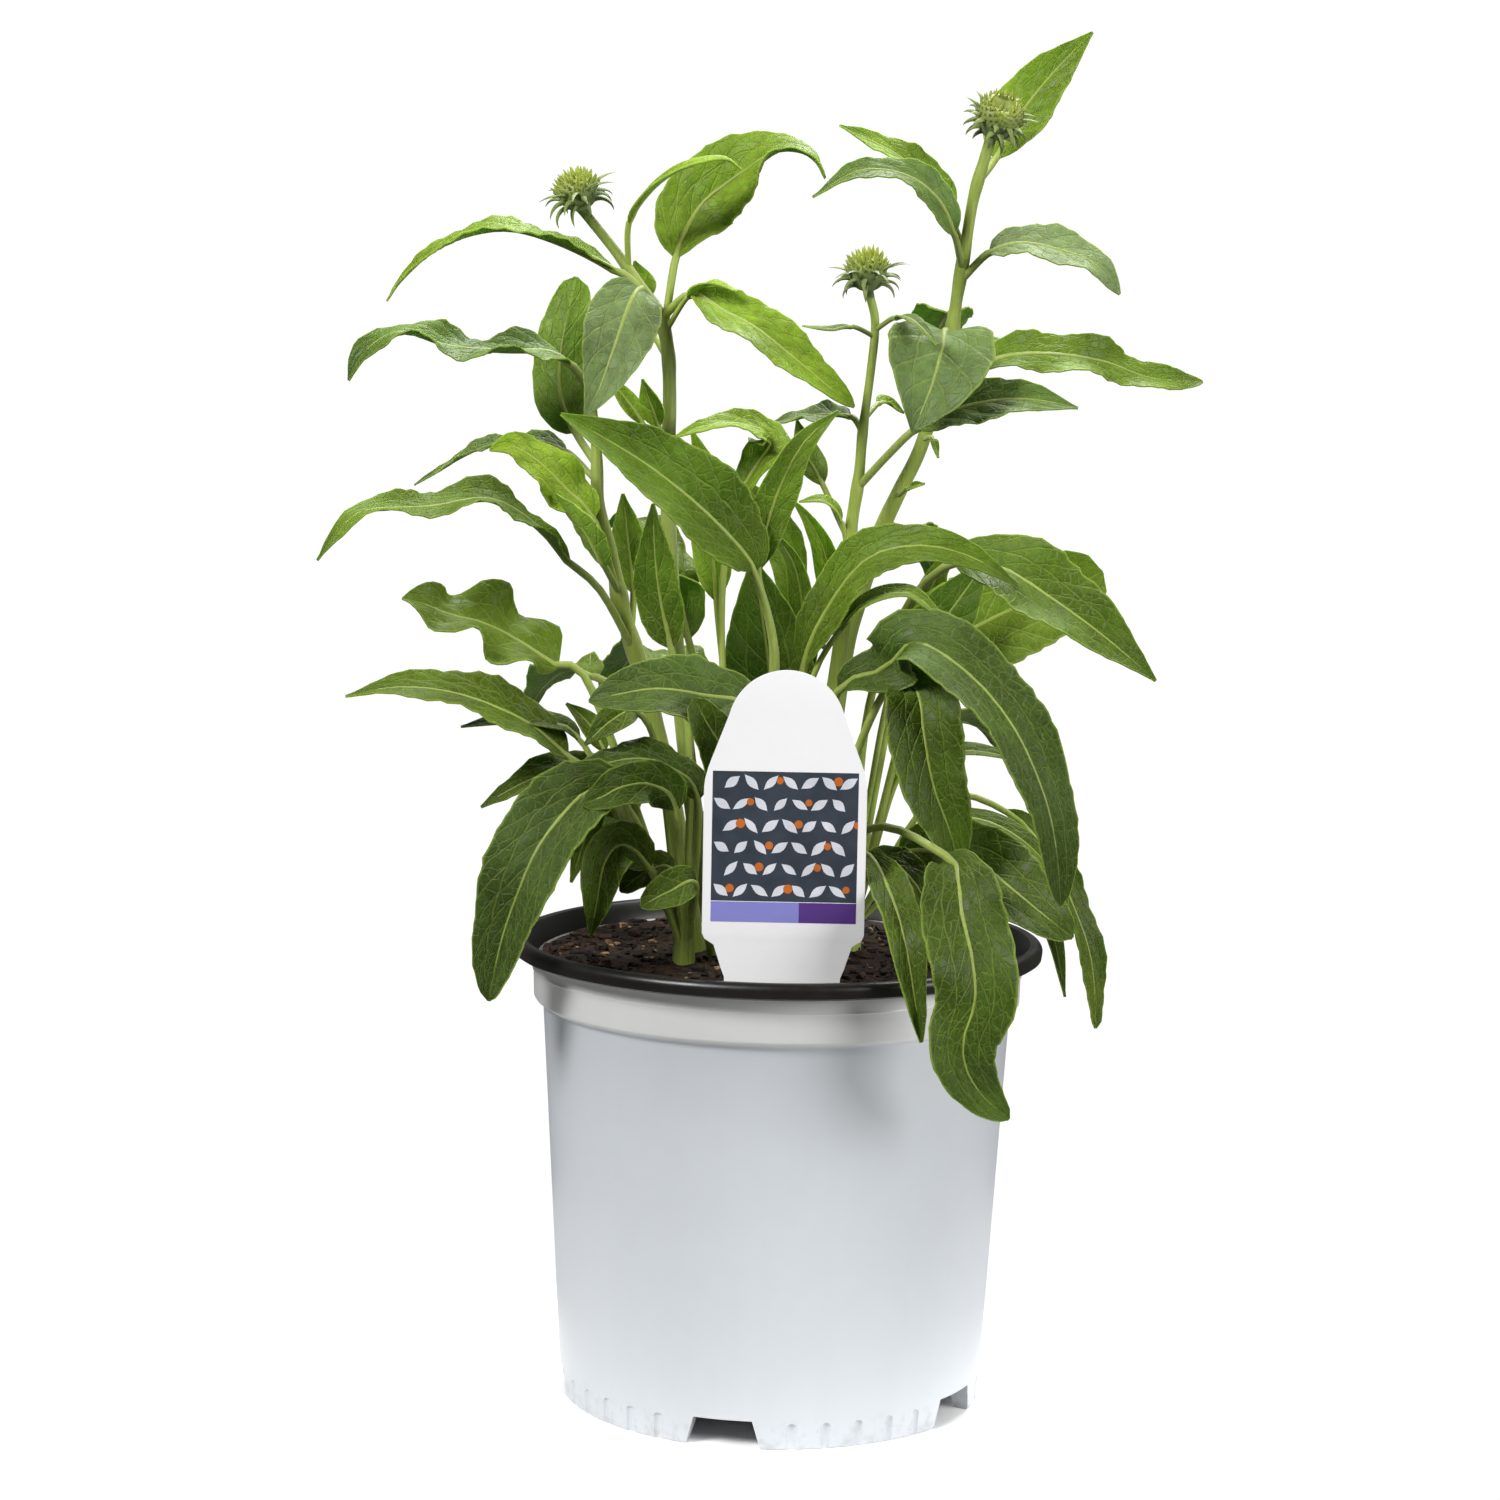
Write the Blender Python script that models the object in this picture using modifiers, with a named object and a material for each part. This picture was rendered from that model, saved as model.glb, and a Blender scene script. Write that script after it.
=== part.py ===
"""A coneflower in bud, growing in a round plastic nursery pot with a stake label.

Units are metres with +Z up. The origin is the middle of the pot's foot, on the surface it
stands on, and the label and the over-hanging leaf face -Y. The plant's own points are given
in whole millimetres from the same origin.
"""

import math
import random
from collections import namedtuple

import bmesh
import bpy
import numpy as np
from mathutils import Matrix, Vector

MM = 0.001
GAP = 0.0003

RIM_RADIUS = 0.0825
RIM_INNER_RADIUS = 0.0775
RIM_TOP = 0.144
RIM_HEIGHT = 0.005
COLLAR_RADIUS = 0.0757
COLLAR_BOTTOM = 0.1240
BASE_RADIUS = 0.0658
WALL_TOP_RADIUS = 0.0728
WALL = 0.0016
FLOOR_HEIGHT = 0.0085
FLOOR_THICKNESS = 0.0020
FOOT_WIDTH = 0.0050
POT_SIDES = 40

DRAIN_COUNT = 5
DRAIN_START = 258.0
DRAIN_TOP_WIDTH = 0.018
DRAIN_FOOT_WIDTH = 0.024
DRAIN_HEIGHT = 0.0088
FLUTES_PER_BAY = 5
FLUTE_PITCH = 9.0
FLUTE_RADIUS = 0.0021
FLUTE_HEIGHT = 0.0085
FLUTE_DEPTH = 0.0008

SOIL_TOP = 0.138
SOIL_RINGS = 6
SOIL_RELIEF = 0.0012
SOIL_MOUND = 0.0015
HOLE_DEPTH = 0.028
HOLE_CLEARANCE = 0.0004

LABEL_CENTRE_X = 0.0015
LABEL_Y = -0.066
LABEL_TOP = 0.2335
LABEL_WIDTH = 0.0475
LABEL_ARCH_RADIUS = 0.0172
LABEL_SHOULDER_BOTTOM = 0.1560
LABEL_SHOULDER_TOP = 0.1990
LABEL_STAKE_WIDTH = 0.0340
LABEL_POINT = 0.1080
LABEL_THICKNESS = 0.0008

LEAF_THICKNESS = 0.0008
PETIOLE_WIDTH = 0.0022
PETIOLE_THICKNESS = 0.0018
LEAF_FOLD = 0.22
WIDEST_AT = 0.36
TOOTH = 0.06
STATION_SPACING = 0.0123
STEM_BEVEL = 1

HEAD_SCALES = 22
HEAD_BRACTS = (9, 9)
HEAD_FOOT_FLARE = 0.0003
NECK_SIDES = 7
GOLDEN_ANGLE = math.radians(137.508)

LEAF_GREEN = (0.075, 0.185, 0.030)
STEM_GREEN = (0.150, 0.230, 0.050)
BUD_GREEN = (0.290, 0.400, 0.090)
POT_WHITE = (0.780, 0.820, 0.860)
SOIL_BROWN = (0.030, 0.020, 0.014)
LABEL_WHITE = (0.850, 0.850, 0.860)

# name, blade width, height of the root, point where the blade starts, the way its upper side
# faces, height of the edge's waves, and the midrib's points after the root; all in mm. Then how
# steeply its halves fold, how blunt its tip is, the way it faces at the tip where it twists, and
# where its waves start, in radians, where that isn't left to chance
Leaf = namedtuple("Leaf", "name width root shoulder face wave path fold blunt end_face phase",
                  defaults=(LEAF_FOLD, 0, None, None))

# the middle line of a stem and its radius at the foot and at the top, in mm
Stem = namedtuple("Stem", "foot_radius top_radius path leaves")

STEMS = {
    "left_stem": Stem(3.0, 1.5, [
        (-19, -13, 142), (-27, -13, 188), (-33, -12, 237), (-36, -10, 280), (-36, -8, 310),
        (-37, -6, 326), (-40, -5, 336), (-45, -5, 343), (-53, -4, 354), (-63, -4, 366),
    ], [
        Leaf("upper_leaf", 26, 331, 1, (-3, -10, 1), 1,
             [(-35, -3, 353), (-32, 2, 362), (-27, 5, 370), (-21, 4, 375), (-14, 1, 380),
              (-6, -4, 385), (2, -9, 385), (7, -12, 382), (10, -14, 377)], end_face=(0, 5, 9)),
        Leaf("upper_arching_leaf", 9, 349, 1, (0, -3, 10), 0,
             [(-49, -10, 363), (-43, -14, 372), (-35, -17, 378), (-27, -18, 381), (-20, -17, 382),
              (-15, -15, 379)]),
        Leaf("left_arching_leaf", 17, 342, 1, (0, -2, 10), 1,
             [(-53, -10, 349), (-71, -14, 357), (-87, -18, 360), (-104, -20, 355), (-116, -20, 345),
              (-121, -20, 338)]),
        Leaf("front_hanging_leaf", 22, 339, 1, (1, -10, 4), 1,
             [(-45, -16, 343), (-48, -24, 338), (-52, -33, 325), (-56, -36, 313), (-60, -37, 305)]),
        Leaf("right_falling_leaf", 17, 334, 1, (3, -8, 6), 1,
             [(-30, -9, 342), (-20, -14, 337), (-10, -18, 332), (2, -21, 323), (12, -22, 315),
              (20, -22, 309)], fold=0.3, blunt=0.5),
        Leaf("small_right_leaf", 7, 330, 1, (0, -2, 10), 0,
             [(-31, -9, 341), (-24, -14, 345), (-16, -17, 343)]),
        Leaf("small_upright_leaf", 8, 334, 1, (0, -10, 3), 0,
             [(-43, 4, 341), (-46, 7, 346), (-48, 9, 352)]),
        Leaf("axil_leaf_left", 6, 289, 1, (3, -10, 3), 0,
             [(-44, -12, 303), (-49, -13, 310), (-55, -14, 317)]),
        Leaf("axil_leaf_right", 7, 292, 1, (-3, -10, 3), 0,
             [(-39, -15, 302), (-42, -17, 310), (-44, -18, 316)]),
        Leaf("back_leaf_high", 17, 322, 1, (0, 4, 10), 1,
             [(-43, 8, 331), (-49, 26, 331), (-55, 44, 324), (-59, 56, 314)]),
    ]),
    "outer_left_stem": Stem(3.0, 1.6, [
        (-25, -1, 143), (-35, -1, 193), (-43, 0, 223), (-50, 2, 245), (-54, 4, 263),
        (-58, 6, 278), (-59, 8, 294), (-61, 10, 309), (-62, 10, 319),
    ], [
        Leaf("left_wavy_leaf", 18, 312, 1, (0, -4, 10), 3,
             [(-67, 6, 320), (-74, 2, 324), (-88, -4, 324), (-103, -8, 325), (-118, -12, 329),
              (-128, -14, 323), (-133, -15, 314)], blunt=0.4),
        Leaf("upright_leaf", 19, 289, 1, (2, 10, 2), 1,
             [(-66, 16, 299), (-71, 21, 310), (-71, 25, 326), (-67, 27, 347)], blunt=0.9),
        Leaf("long_left_leaf", 16, 231, 2, (1, -5, 10), 2,
             [(-56, -8, 251), (-65, -14, 260), (-74, -22, 271), (-88, -32, 280), (-105, -44, 278),
              (-123, -58, 277), (-130, -65, 270), (-135, -68, 263)]),
        Leaf("pale_leaf", 12, 284, 1, (0, -3, 10), 1,
             [(-69, 16, 293), (-81, 22, 296), (-97, 28, 293), (-118, 32, 281)]),
        Leaf("bright_leaf", 16, 248, 1, (0, -8, 6), 2,
             [(-59, -4, 273), (-67, -7, 282), (-75, -10, 290), (-83, -14, 295),
              (-90, -16, 294)], blunt=0.4),
        Leaf("pale_inner_leaf", 11, 250, 1, (5, 6, 5), 0,
             [(-55, -10, 259), (-61, -13, 270), (-70, -12, 281)]),
        Leaf("inner_leaf", 12, 236, 1, (0, -10, 0), 1,
             [(-47, 10, 250), (-49, 14, 264), (-51, 18, 280)]),
        Leaf("back_leaf_low", 19, 216, 1, (-4, 5, 10), 2,
             [(-59, 20, 222), (-69, 38, 223), (-79, 54, 214), (-85, 62, 202)]),
    ]),
    "centre_stem": Stem(3.0, 1.3, [
        (6, 2, 144), (11, 0, 187), (16, -2, 222), (19, -4, 250), (20, -6, 271),
        (22, -7, 287), (23, -7, 302), (25, -7, 320), (26, -7, 334), (24, -8, 343),
    ], [
        Leaf("thread_leaf", 4, 330, 1, (0, -3, 10), 0,
             [(19, -11, 333), (12, -14, 332), (4, -18, 333)]),
        Leaf("small_arching_leaf", 5, 332, 1, (0, -3, 10), 0,
             [(32, -14, 336), (37, -25, 335), (44, -34, 328)]),
        Leaf("long_petiole_leaf", 17, 284, 2, (0, -8, 7), 1,
             [(31, -14, 295), (39, -18, 303), (50, -20, 309), (64, -22, 312), (75, -22, 312),
              (87, -22, 310)]),
        Leaf("grey_leaf", 11, 301, 1, (1, -6, 10), 1,
             [(19, -4, 306), (9, 2, 306), (2, 6, 305), (-5, 9, 303)]),
        Leaf("inner_left_leaf", 9, 267, 1, (2, -10, 3), 0,
             [(11, 0, 285), (6, 4, 294), (3, 8, 304)]),
        Leaf("short_leaf", 6, 305, 1, (-2, -8, 8), 0,
             [(28, 2, 310), (31, 6, 310), (36, 10, 307)]),
        Leaf("low_leaf", 7, 262, 1, (0, -4, 10), 0,
             [(17, -8, 274), (12, -10, 280), (4, -12, 280)]),
    ]),
    "right_stem": Stem(3.4, 1.7, [
        (13, 12, 142), (15, 10, 198), (19, 8, 233), (23, 8, 249), (26, 8, 261), (31, 7, 274),
        (35, 6, 283), (42, 5, 299), (49, 2, 329), (51, 0, 343), (53, -2, 358), (55, -3, 372),
        (58, -4, 384), (60, -4, 391),
    ], [
        Leaf("top_leaf", 19, 377, 1, (-3, -10, 3), 1,
             [(62, 8, 385), (69, 14, 398), (79, 16, 411), (91, 14, 424)]),
        Leaf("upper_left_leaf", 14, 356, 1, (-3, -6, 8), 1,
             [(48, 0, 367), (42, -2, 377), (31, -6, 385), (14, -10, 393)]),
        Leaf("second_left_leaf", 12, 351, 1, (-2, -7, 8), 1,
             [(49, -14, 361), (44, -18, 371), (34, -21, 378), (20, -23, 379), (6, -23, 371)]),
        Leaf("upper_right_leaf", 16, 347, 1, (0, -7, 8), 1,
             [(60, -6, 356), (69, -10, 359), (81, -14, 357), (91, -16, 353),
              (99, -17, 344)], blunt=0.3),
        Leaf("broad_hanging_leaf", 32, 330, 1, (0, -10, 4), 1,
             [(47, -12, 332), (46, -22, 328), (43, -29, 317), (40, -32, 309),
              (37, -33, 302)], fold=0.3),
        Leaf("long_right_leaf", 15, 317, 1, (0, -9, 6), 2,
             [(57, -2, 321), (66, 0, 325), (80, 6, 326), (97, 14, 324), (113, 25, 319),
              (131, 36, 318)], blunt=0.6, phase=4.4),
        Leaf("small_right_leaf", 5, 326, 1, (0, -3, 10), 0,
             [(59, 7, 330), (66, 6, 328), (76, 5, 321)]),
        Leaf("curled_leaf", 3, 299, 1, (5, -5, 5), 0,
             [(44, -9, 300), (45, -12, 297), (46, -13, 294)]),
        Leaf("bud_leaf", 4, 281, 1, (-3, -5, 8), 0,
             [(37, -3, 284), (39, -6, 285), (42, -8, 286)]),
        Leaf("back_leaf_high", 19, 334, 1, (0, 4, 10), 1,
             [(50, 18, 338), (48, 38, 336), (45, 56, 325), (43, 64, 313)]),
        Leaf("back_leaf_mid", 20, 258, 1, (3, 4, 10), 2,
             [(32, 24, 268), (40, 42, 268), (48, 60, 256), (51, 68, 244)]),
    ]),
}

# bunches of leaves that rise from the soil on their own stalks; the path is the short crown
CROWN_TOP = 156
CROWN_SPREAD = 2.6
CROWNS = {
    "left_leaves": Stem(6.0, 4.2, [(-28, -24, 142), (-28, -24, CROWN_TOP)], [
        Leaf("wavy_leaf", 27, 150, 2, (0, -6, 8), 5,
             [(-58, -19, 222), (-68, -21, 229), (-77, -23, 235), (-85, -26, 240), (-92, -28, 243),
              (-100, -31, 245), (-107, -33, 248), (-114, -35, 250)], blunt=0.5, phase=4.6),
        Leaf("long_flat_leaf", 21, 150, 2, (0, -5, 9), 1,
             [(-45, -26, 185), (-64, -32, 203), (-77, -36, 214), (-96, -40, 222), (-114, -42, 224),
              (-130, -42, 221)]),
        Leaf("pale_small_leaf", 9, 151, 2, (0, -5, 9), 0,
             [(-46, -29, 182), (-61, -28, 208), (-70, -30, 213), (-82, -34, 214), (-96, -37, 212)]),
        Leaf("side_leaf", 8, 150, 2, (3, -8, 6), 0,
             [(-44, -24, 182), (-54, -16, 203), (-59, -14, 211), (-66, -12, 217)]),
        Leaf("oval_left_leaf", 13, 149, 1, (-1, -7, 8), 1,
             [(-54, -14, 193), (-67, -18, 197), (-79, -22, 193), (-91, -24, 186)]),
        Leaf("bright_low_leaf", 11, 148, 1, (-3, -6, 8), 1,
             [(-54, 0, 187), (-65, 0, 190), (-74, -1, 185), (-80, -2, 175)]),
        Leaf("bright_hanging_leaf", 10, 148, 1, (-2, -10, 2), 0,
             [(-51, 4, 180), (-58, 6, 183), (-61, 5, 172), (-65, 3, 159)]),
        Leaf("over_rim_leaf", 26, 149, 1, (-4, -9, 2), 1,
             [(-49, -38, 191), (-57, -44, 194), (-65, -49, 187), (-72, -52, 177), (-77, -53, 165),
              (-82, -51, 150), (-86, -49, 131)], fold=0.35, blunt=0.6),
        Leaf("dark_oval_leaf", 14, 152, 1, (0, -9, 4), 1,
             [(-31, -38, 188), (-38, -42, 196), (-47, -47, 196), (-53, -49, 193),
              (-59, -50, 191)], blunt=0.7),
        Leaf("dark_broad_leaf", 15, 153, 1, (0, -6, 9), 1,
             [(-25, -28, 190), (-33, -31, 200), (-42, -34, 203), (-51, -36, 202),
              (-61, -36, 199)], blunt=0.7),
        Leaf("low_pointed_leaf", 14, 146, 1, (1, -10, 2), 1,
             [(-39, -36, 170), (-47, -42, 178), (-52, -46, 173), (-54, -46, 162),
              (-56, -43, 150)], fold=0.4),
        Leaf("soil_leaf_front", 12, 147, 1, (0, -9, 5), 0,
             [(-25, -38, 166), (-33, -43, 164), (-41, -46, 160)], blunt=0.7),
        Leaf("soil_leaf_back", 11, 147, 1, (0, -7, 7), 0,
             [(-32, -28, 168), (-40, -30, 168), (-48, -31, 162)], blunt=0.7),
        Leaf("small_folded_leaf", 10, 152, 2, (0, -8, 6), 0,
             [(-37, -24, 201), (-43, -28, 216), (-50, -33, 215), (-59, -35, 207)]),
        Leaf("dark_upright_leaf", 15, 153, 2, (-3, -10, 0), 1,
             [(-28, -18, 207), (-34, -19, 235), (-37, -21, 248), (-39, -23, 262), (-40, -25, 279)]),
    ]),
    "front_leaves": Stem(6.0, 4.2, [(-11, -32, 142), (-11, -32, CROWN_TOP)], [
        Leaf("big_front_leaf", 26, 152, 3, (2, -9, 5), 1,
             [(-9, -31, 194), (-2, -33, 230), (-9, -37, 260), (-15, -41, 269), (-26, -46, 280),
              (-40, -50, 291), (-53, -53, 299), (-66, -54, 306)], fold=0.45),
        Leaf("front_upright_leaf", 12, 152, 3, (3, -10, 2), 1,
             [(-7, -29, 193), (-3, -30, 233), (-8, -33, 260), (-5, -36, 276), (1, -39, 292),
              (7, -40, 301), (15, -40, 308)]),
        Leaf("grey_front_leaf", 22, 150, 2, (0, -8, 6), 1,
             [(-10, -40, 192), (-9, -44, 219), (-23, -49, 224), (-37, -52, 226), (-49, -53, 224),
              (-57, -52, 222)], blunt=0.5),
        Leaf("tag_side_leaf", 15, 149, 1, (0, -10, 4), 0,
             [(-13, -48, 193), (-17, -54, 208), (-22, -58, 217), (-26, -58, 224)], blunt=0.8),
        Leaf("bending_leaf", 17, 151, 2, (-4, -8, 5), 1,
             [(4, -25, 196), (6, -28, 231), (14, -33, 251), (25, -38, 265), (40, -42, 269),
              (55, -44, 266), (69, -44, 258)]),
        Leaf("small_curved_leaf", 8, 151, 2, (0, -5, 9), 0,
             [(7, -28, 221), (17, -34, 243), (25, -38, 252), (36, -41, 255), (43, -43, 251),
              (49, -44, 245)]),
        Leaf("arched_inner_leaf", 13, 153, 2, (0, -6, 9), 1,
             [(-19, -12, 243), (-14, -10, 281), (-5, -10, 298), (-13, -14, 303), (-23, -19, 303),
              (-34, -24, 299)]),
    ]),
    "back_leaves": Stem(6.0, 4.2, [(-7, 14, 142), (-7, 14, CROWN_TOP)], [
        Leaf("yellow_leaf", 13, 152, 1, (0, -10, 1), 0,
             [(-21, 6, 248), (-23, 8, 276), (-25, 10, 288), (-30, 12, 301)]),
        Leaf("veined_leaf", 28, 152, 1, (0, -10, 1), 1,
             [(-2, 6, 206), (-4, 5, 225), (-6, 3, 239), (-8, 1, 251), (-10, -1, 262)]),
        Leaf("inner_arching_leaf", 12, 152, 2, (0, -6, 8), 1,
             [(-2, 18, 216), (2, 20, 246), (0, 20, 264), (-8, 22, 278), (-18, 24, 286)]),
        Leaf("inner_small_leaf", 9, 151, 1, (-2, -8, 5), 0,
             [(6, 10, 220), (6, 9, 242), (3, 8, 259), (-5, 8, 271)]),
        Leaf("yellow_inner_leaf", 9, 151, 2, (-3, -8, 5), 0,
             [(12, 22, 197), (17, 26, 235), (13, 26, 260), (8, 26, 271), (2, 26, 279)]),
        Leaf("back_tall_leaf", 24, 150, 1, (2, 5, 10), 2,
             [(-6, 44, 213), (-3, 60, 236), (5, 76, 240), (14, 90, 226)]),
        Leaf("back_left_leaf", 24, 150, 1, (-3, 5, 10), 2,
             [(-26, 40, 207), (-37, 54, 225), (-51, 72, 223), (-61, 86, 204)]),
        Leaf("back_low_left_leaf", 21, 148, 1, (-4, 6, 9), 1,
             [(-29, 48, 180), (-43, 60, 184), (-55, 76, 168), (-62, 84, 143)]),
        Leaf("back_low_leaf", 22, 148, 1, (0, 8, 8), 1,
             [(-2, 50, 183), (3, 64, 191), (7, 81, 175), (9, 90, 148)]),
        Leaf("back_left_tall_leaf", 20, 151, 1, (-2, 4, 10), 2,
             [(-30, 28, 234), (-37, 36, 258), (-47, 50, 270), (-61, 64, 266)]),
    ]),
    "right_leaves": Stem(6.0, 4.2, [(22, 3, 142), (22, 3, CROWN_TOP)], [
        Leaf("big_right_leaf", 26, 151, 3, (1, -8, 7), 1,
             [(26, -6, 213), (37, -14, 248), (51, -22, 263), (65, -29, 262), (79, -34, 254),
              (95, -38, 243), (111, -40, 230)], fold=0.3),
        Leaf("serrated_leaf", 34, 152, 1, (-1, -10, 3), 1,
             [(46, 12, 233), (57, 14, 239), (71, 17, 246), (87, 20, 252), (100, 22, 258)], blunt=0.9),
        Leaf("dark_right_leaf", 18, 152, 1, (0, -10, 2), 0,
             [(43, 4, 232), (48, 3, 241), (54, 2, 250), (62, 1, 262)]),
        Leaf("bright_right_leaf", 9, 151, 1, (-2, -9, 4), 0,
             [(38, 24, 232), (45, 27, 248), (49, 28, 257), (56, 28, 267)]),
        Leaf("flat_right_leaf", 9, 150, 1, (0, -4, 10), 0,
             [(37, 6, 195), (48, 4, 201), (60, 2, 203), (79, -1, 200)]),
        Leaf("arched_right_leaf", 9, 149, 1, (0, -4, 9), 0,
             [(45, -8, 181), (60, -14, 184), (73, -18, 179), (83, -21, 169), (90, -22, 152)]),
        Leaf("far_hanging_leaf", 12, 149, 2, (6, -8, 3), 1,
             [(47, 2, 187), (70, -2, 185), (83, -6, 172), (91, -9, 157), (97, -11, 140),
              (99, -12, 119)], blunt=0.8),
        Leaf("small_hanging_leaf", 7, 148, 2, (6, -8, 2), 0,
             [(49, 2, 169), (75, 0, 164), (85, -2, 148), (90, -3, 127)]),
        Leaf("back_right_leaf", 22, 149, 1, (4, 4, 10), 2,
             [(38, 34, 196), (53, 44, 208), (71, 54, 201), (85, 58, 181)]),
        Leaf("back_right_tall_leaf", 20, 151, 1, (3, 4, 10), 1,
             [(34, 34, 216), (44, 50, 234), (57, 66, 238), (70, 80, 225)]),
    ]),
    "front_right_leaves": Stem(6.0, 4.2, [(7, -25, 142), (7, -25, CROWN_TOP)], [
        Leaf("big_drooping_leaf", 23, 152, 2, (3, -8, 6), 1,
             [(9, -27, 197), (17, -33, 225), (30, -41, 232), (39, -49, 241), (55, -56, 232),
              (68, -60, 217), (77, -62, 198), (81, -62, 182), (83, -60, 165)], fold=0.3, blunt=0.7),
        Leaf("hanging_leaf", 22, 151, 2, (0, -10, 3), 1,
             [(21, -28, 200), (33, -38, 229), (40, -46, 226), (42, -51, 214), (45, -53, 199),
              (50, -53, 186), (53, -52, 176)], fold=0.45, blunt=0.7),
        Leaf("rim_leaf", 25, 149, 2, (0, -10, 2), 2,
             [(26, -42, 184), (49, -60, 179), (52, -71, 174), (53, -78, 165), (56, -83, 153),
              (57, -86, 141), (54, -86, 130), (55, -85, 121), (60, -84, 113),
              (68, -83, 106)], fold=0.3, blunt=0.6),
        Leaf("narrow_rim_leaf", 12, 149, 2, (2, -10, 3), 1,
             [(17, -44, 173), (26, -50, 178), (33, -66, 168), (37, -79, 156), (40, -83, 140),
              (42, -83, 128)], fold=0.45, blunt=0.3),
        Leaf("dark_low_leaf", 13, 148, 1, (0, -7, 7), 0,
             [(24, -32, 170), (34, -40, 173), (41, -46, 168), (47, -50, 157)]),
        Leaf("low_right_leaf", 25, 148, 1, (3, -10, 3), 1,
             [(36, -30, 175), (60, -39, 173), (66, -44, 170), (73, -49, 165), (80, -54, 160),
              (87, -57, 155)], blunt=0.7),
    ]),
}

# the stem that carries each head, the radius and height of its core in mm, and the way it faces
HEADS = {
    "left_head": ("left_stem", 6.6, 9.5, (-0.30, -0.25, 0.92)),
    "centre_head": ("centre_stem", 6.2, 9.0, (-0.10, -0.15, 0.98)),
    "right_head": ("right_stem", 7.8, 12.0, (0.25, -0.64, 0.73)),
}


def clear_scene():
    for obj in list(bpy.data.objects):
        bpy.data.objects.remove(obj)


def new_collection(name):
    collection = bpy.data.collections.new(name)
    bpy.context.scene.collection.children.link(collection)
    return collection


def plain_material(name, colour, roughness):
    material = bpy.data.materials.new(name)
    material.use_nodes = True
    shader = material.node_tree.nodes["Principled BSDF"]
    shader.inputs["Base Color"].default_value = (*colour, 1)
    shader.inputs["Roughness"].default_value = roughness
    shader.inputs["Metallic"].default_value = 0
    return material


def add_object(name, mesh, collection, material=None):
    obj = bpy.data.objects.new(name, mesh)
    collection.objects.link(obj)
    if material:
        mesh.materials.append(material)
    return obj


def add_mesh(name, points, faces, collection, material=None):
    mesh = bpy.data.meshes.new(name)
    mesh.from_pydata([tuple(p) for p in points], [], faces)
    mesh.update()
    return add_object(name, mesh, collection, material)


def move_to(obj, collection):
    """Hold an object in this collection alone."""
    for holder in list(obj.users_collection):
        holder.objects.unlink(obj)
    collection.objects.link(obj)


def apply_modifiers(obj):
    """Keep the mesh as its modifiers leave it."""
    graph = bpy.context.evaluated_depsgraph_get()
    mesh = bpy.data.meshes.new_from_object(obj.evaluated_get(graph))
    obj.modifiers.clear()
    obj.data = mesh


def boolean(obj, collection, operation, solver="EXACT"):
    """Cut or join with everything in a collection, then remove what it held."""
    modifier = obj.modifiers.new(operation.title(), "BOOLEAN")
    modifier.operation = operation
    modifier.operand_type = "COLLECTION"
    modifier.collection = collection
    modifier.solver = solver
    bpy.context.view_layer.update()
    apply_modifiers(obj)
    for helper in list(collection.objects):
        bpy.data.objects.remove(helper)


def as_helper(obj):
    obj.hide_render = True
    obj.display_type = "WIRE"


def shade_smooth(obj, angle=35):
    obj.data.shade_smooth()
    obj.data.set_sharp_from_angle(angle=math.radians(angle))


def wall_radius(height):
    """Outer radius of the pot's tapering wall."""
    return BASE_RADIUS + (WALL_TOP_RADIUS - BASE_RADIUS) * height / COLLAR_BOTTOM


def pot_profile():
    """Half section, from the floor's middle up the inside, over the rim and down the outside."""
    rim_foot = RIM_TOP - RIM_HEIGHT
    return [
        (0, FLOOR_HEIGHT),
        (wall_radius(FLOOR_HEIGHT) - WALL, FLOOR_HEIGHT),
        (wall_radius(COLLAR_BOTTOM) - WALL, COLLAR_BOTTOM + 0.0010),
        (COLLAR_RADIUS - WALL, COLLAR_BOTTOM + 0.0030),
        (COLLAR_RADIUS + 0.0006 - WALL, rim_foot - 0.0010),
        (RIM_INNER_RADIUS, RIM_TOP - 0.0012),
        (RIM_INNER_RADIUS + 0.0010, RIM_TOP),
        (RIM_RADIUS - 0.0012, RIM_TOP - 0.0004),
        (RIM_RADIUS, RIM_TOP - 0.0018),
        (RIM_RADIUS - 0.0003, rim_foot),
        (COLLAR_RADIUS + 0.0014, rim_foot),
        (COLLAR_RADIUS + 0.0006, rim_foot - 0.0050),
        (COLLAR_RADIUS, COLLAR_BOTTOM + 0.0012),
        (wall_radius(COLLAR_BOTTOM), COLLAR_BOTTOM - 0.0008),
        (wall_radius(0.0120), 0.0120),
        (BASE_RADIUS, 0.0010),
        (BASE_RADIUS - 0.0008, 0),
        (BASE_RADIUS - FOOT_WIDTH, 0),
        (BASE_RADIUS - FOOT_WIDTH - 0.0010, FLOOR_HEIGHT - FLOOR_THICKNESS),
        (0, FLOOR_HEIGHT - FLOOR_THICKNESS),
    ]


def turned(name, profile, sides, collection, material=None):
    """A profile of (radius, height) points turned round the Z axis."""
    mesh = bpy.data.meshes.new(name)
    mesh.from_pydata([(r, 0, z) for r, z in profile], [(i, i + 1) for i in range(len(profile) - 1)], [])
    obj = add_object(name, mesh, collection, material)
    screw = obj.modifiers.new("Turn", "SCREW")
    screw.steps = screw.render_steps = sides
    screw.use_merge_vertices = True
    screw.merge_threshold = 0.00001
    apply_modifiers(obj)
    return obj


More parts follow.
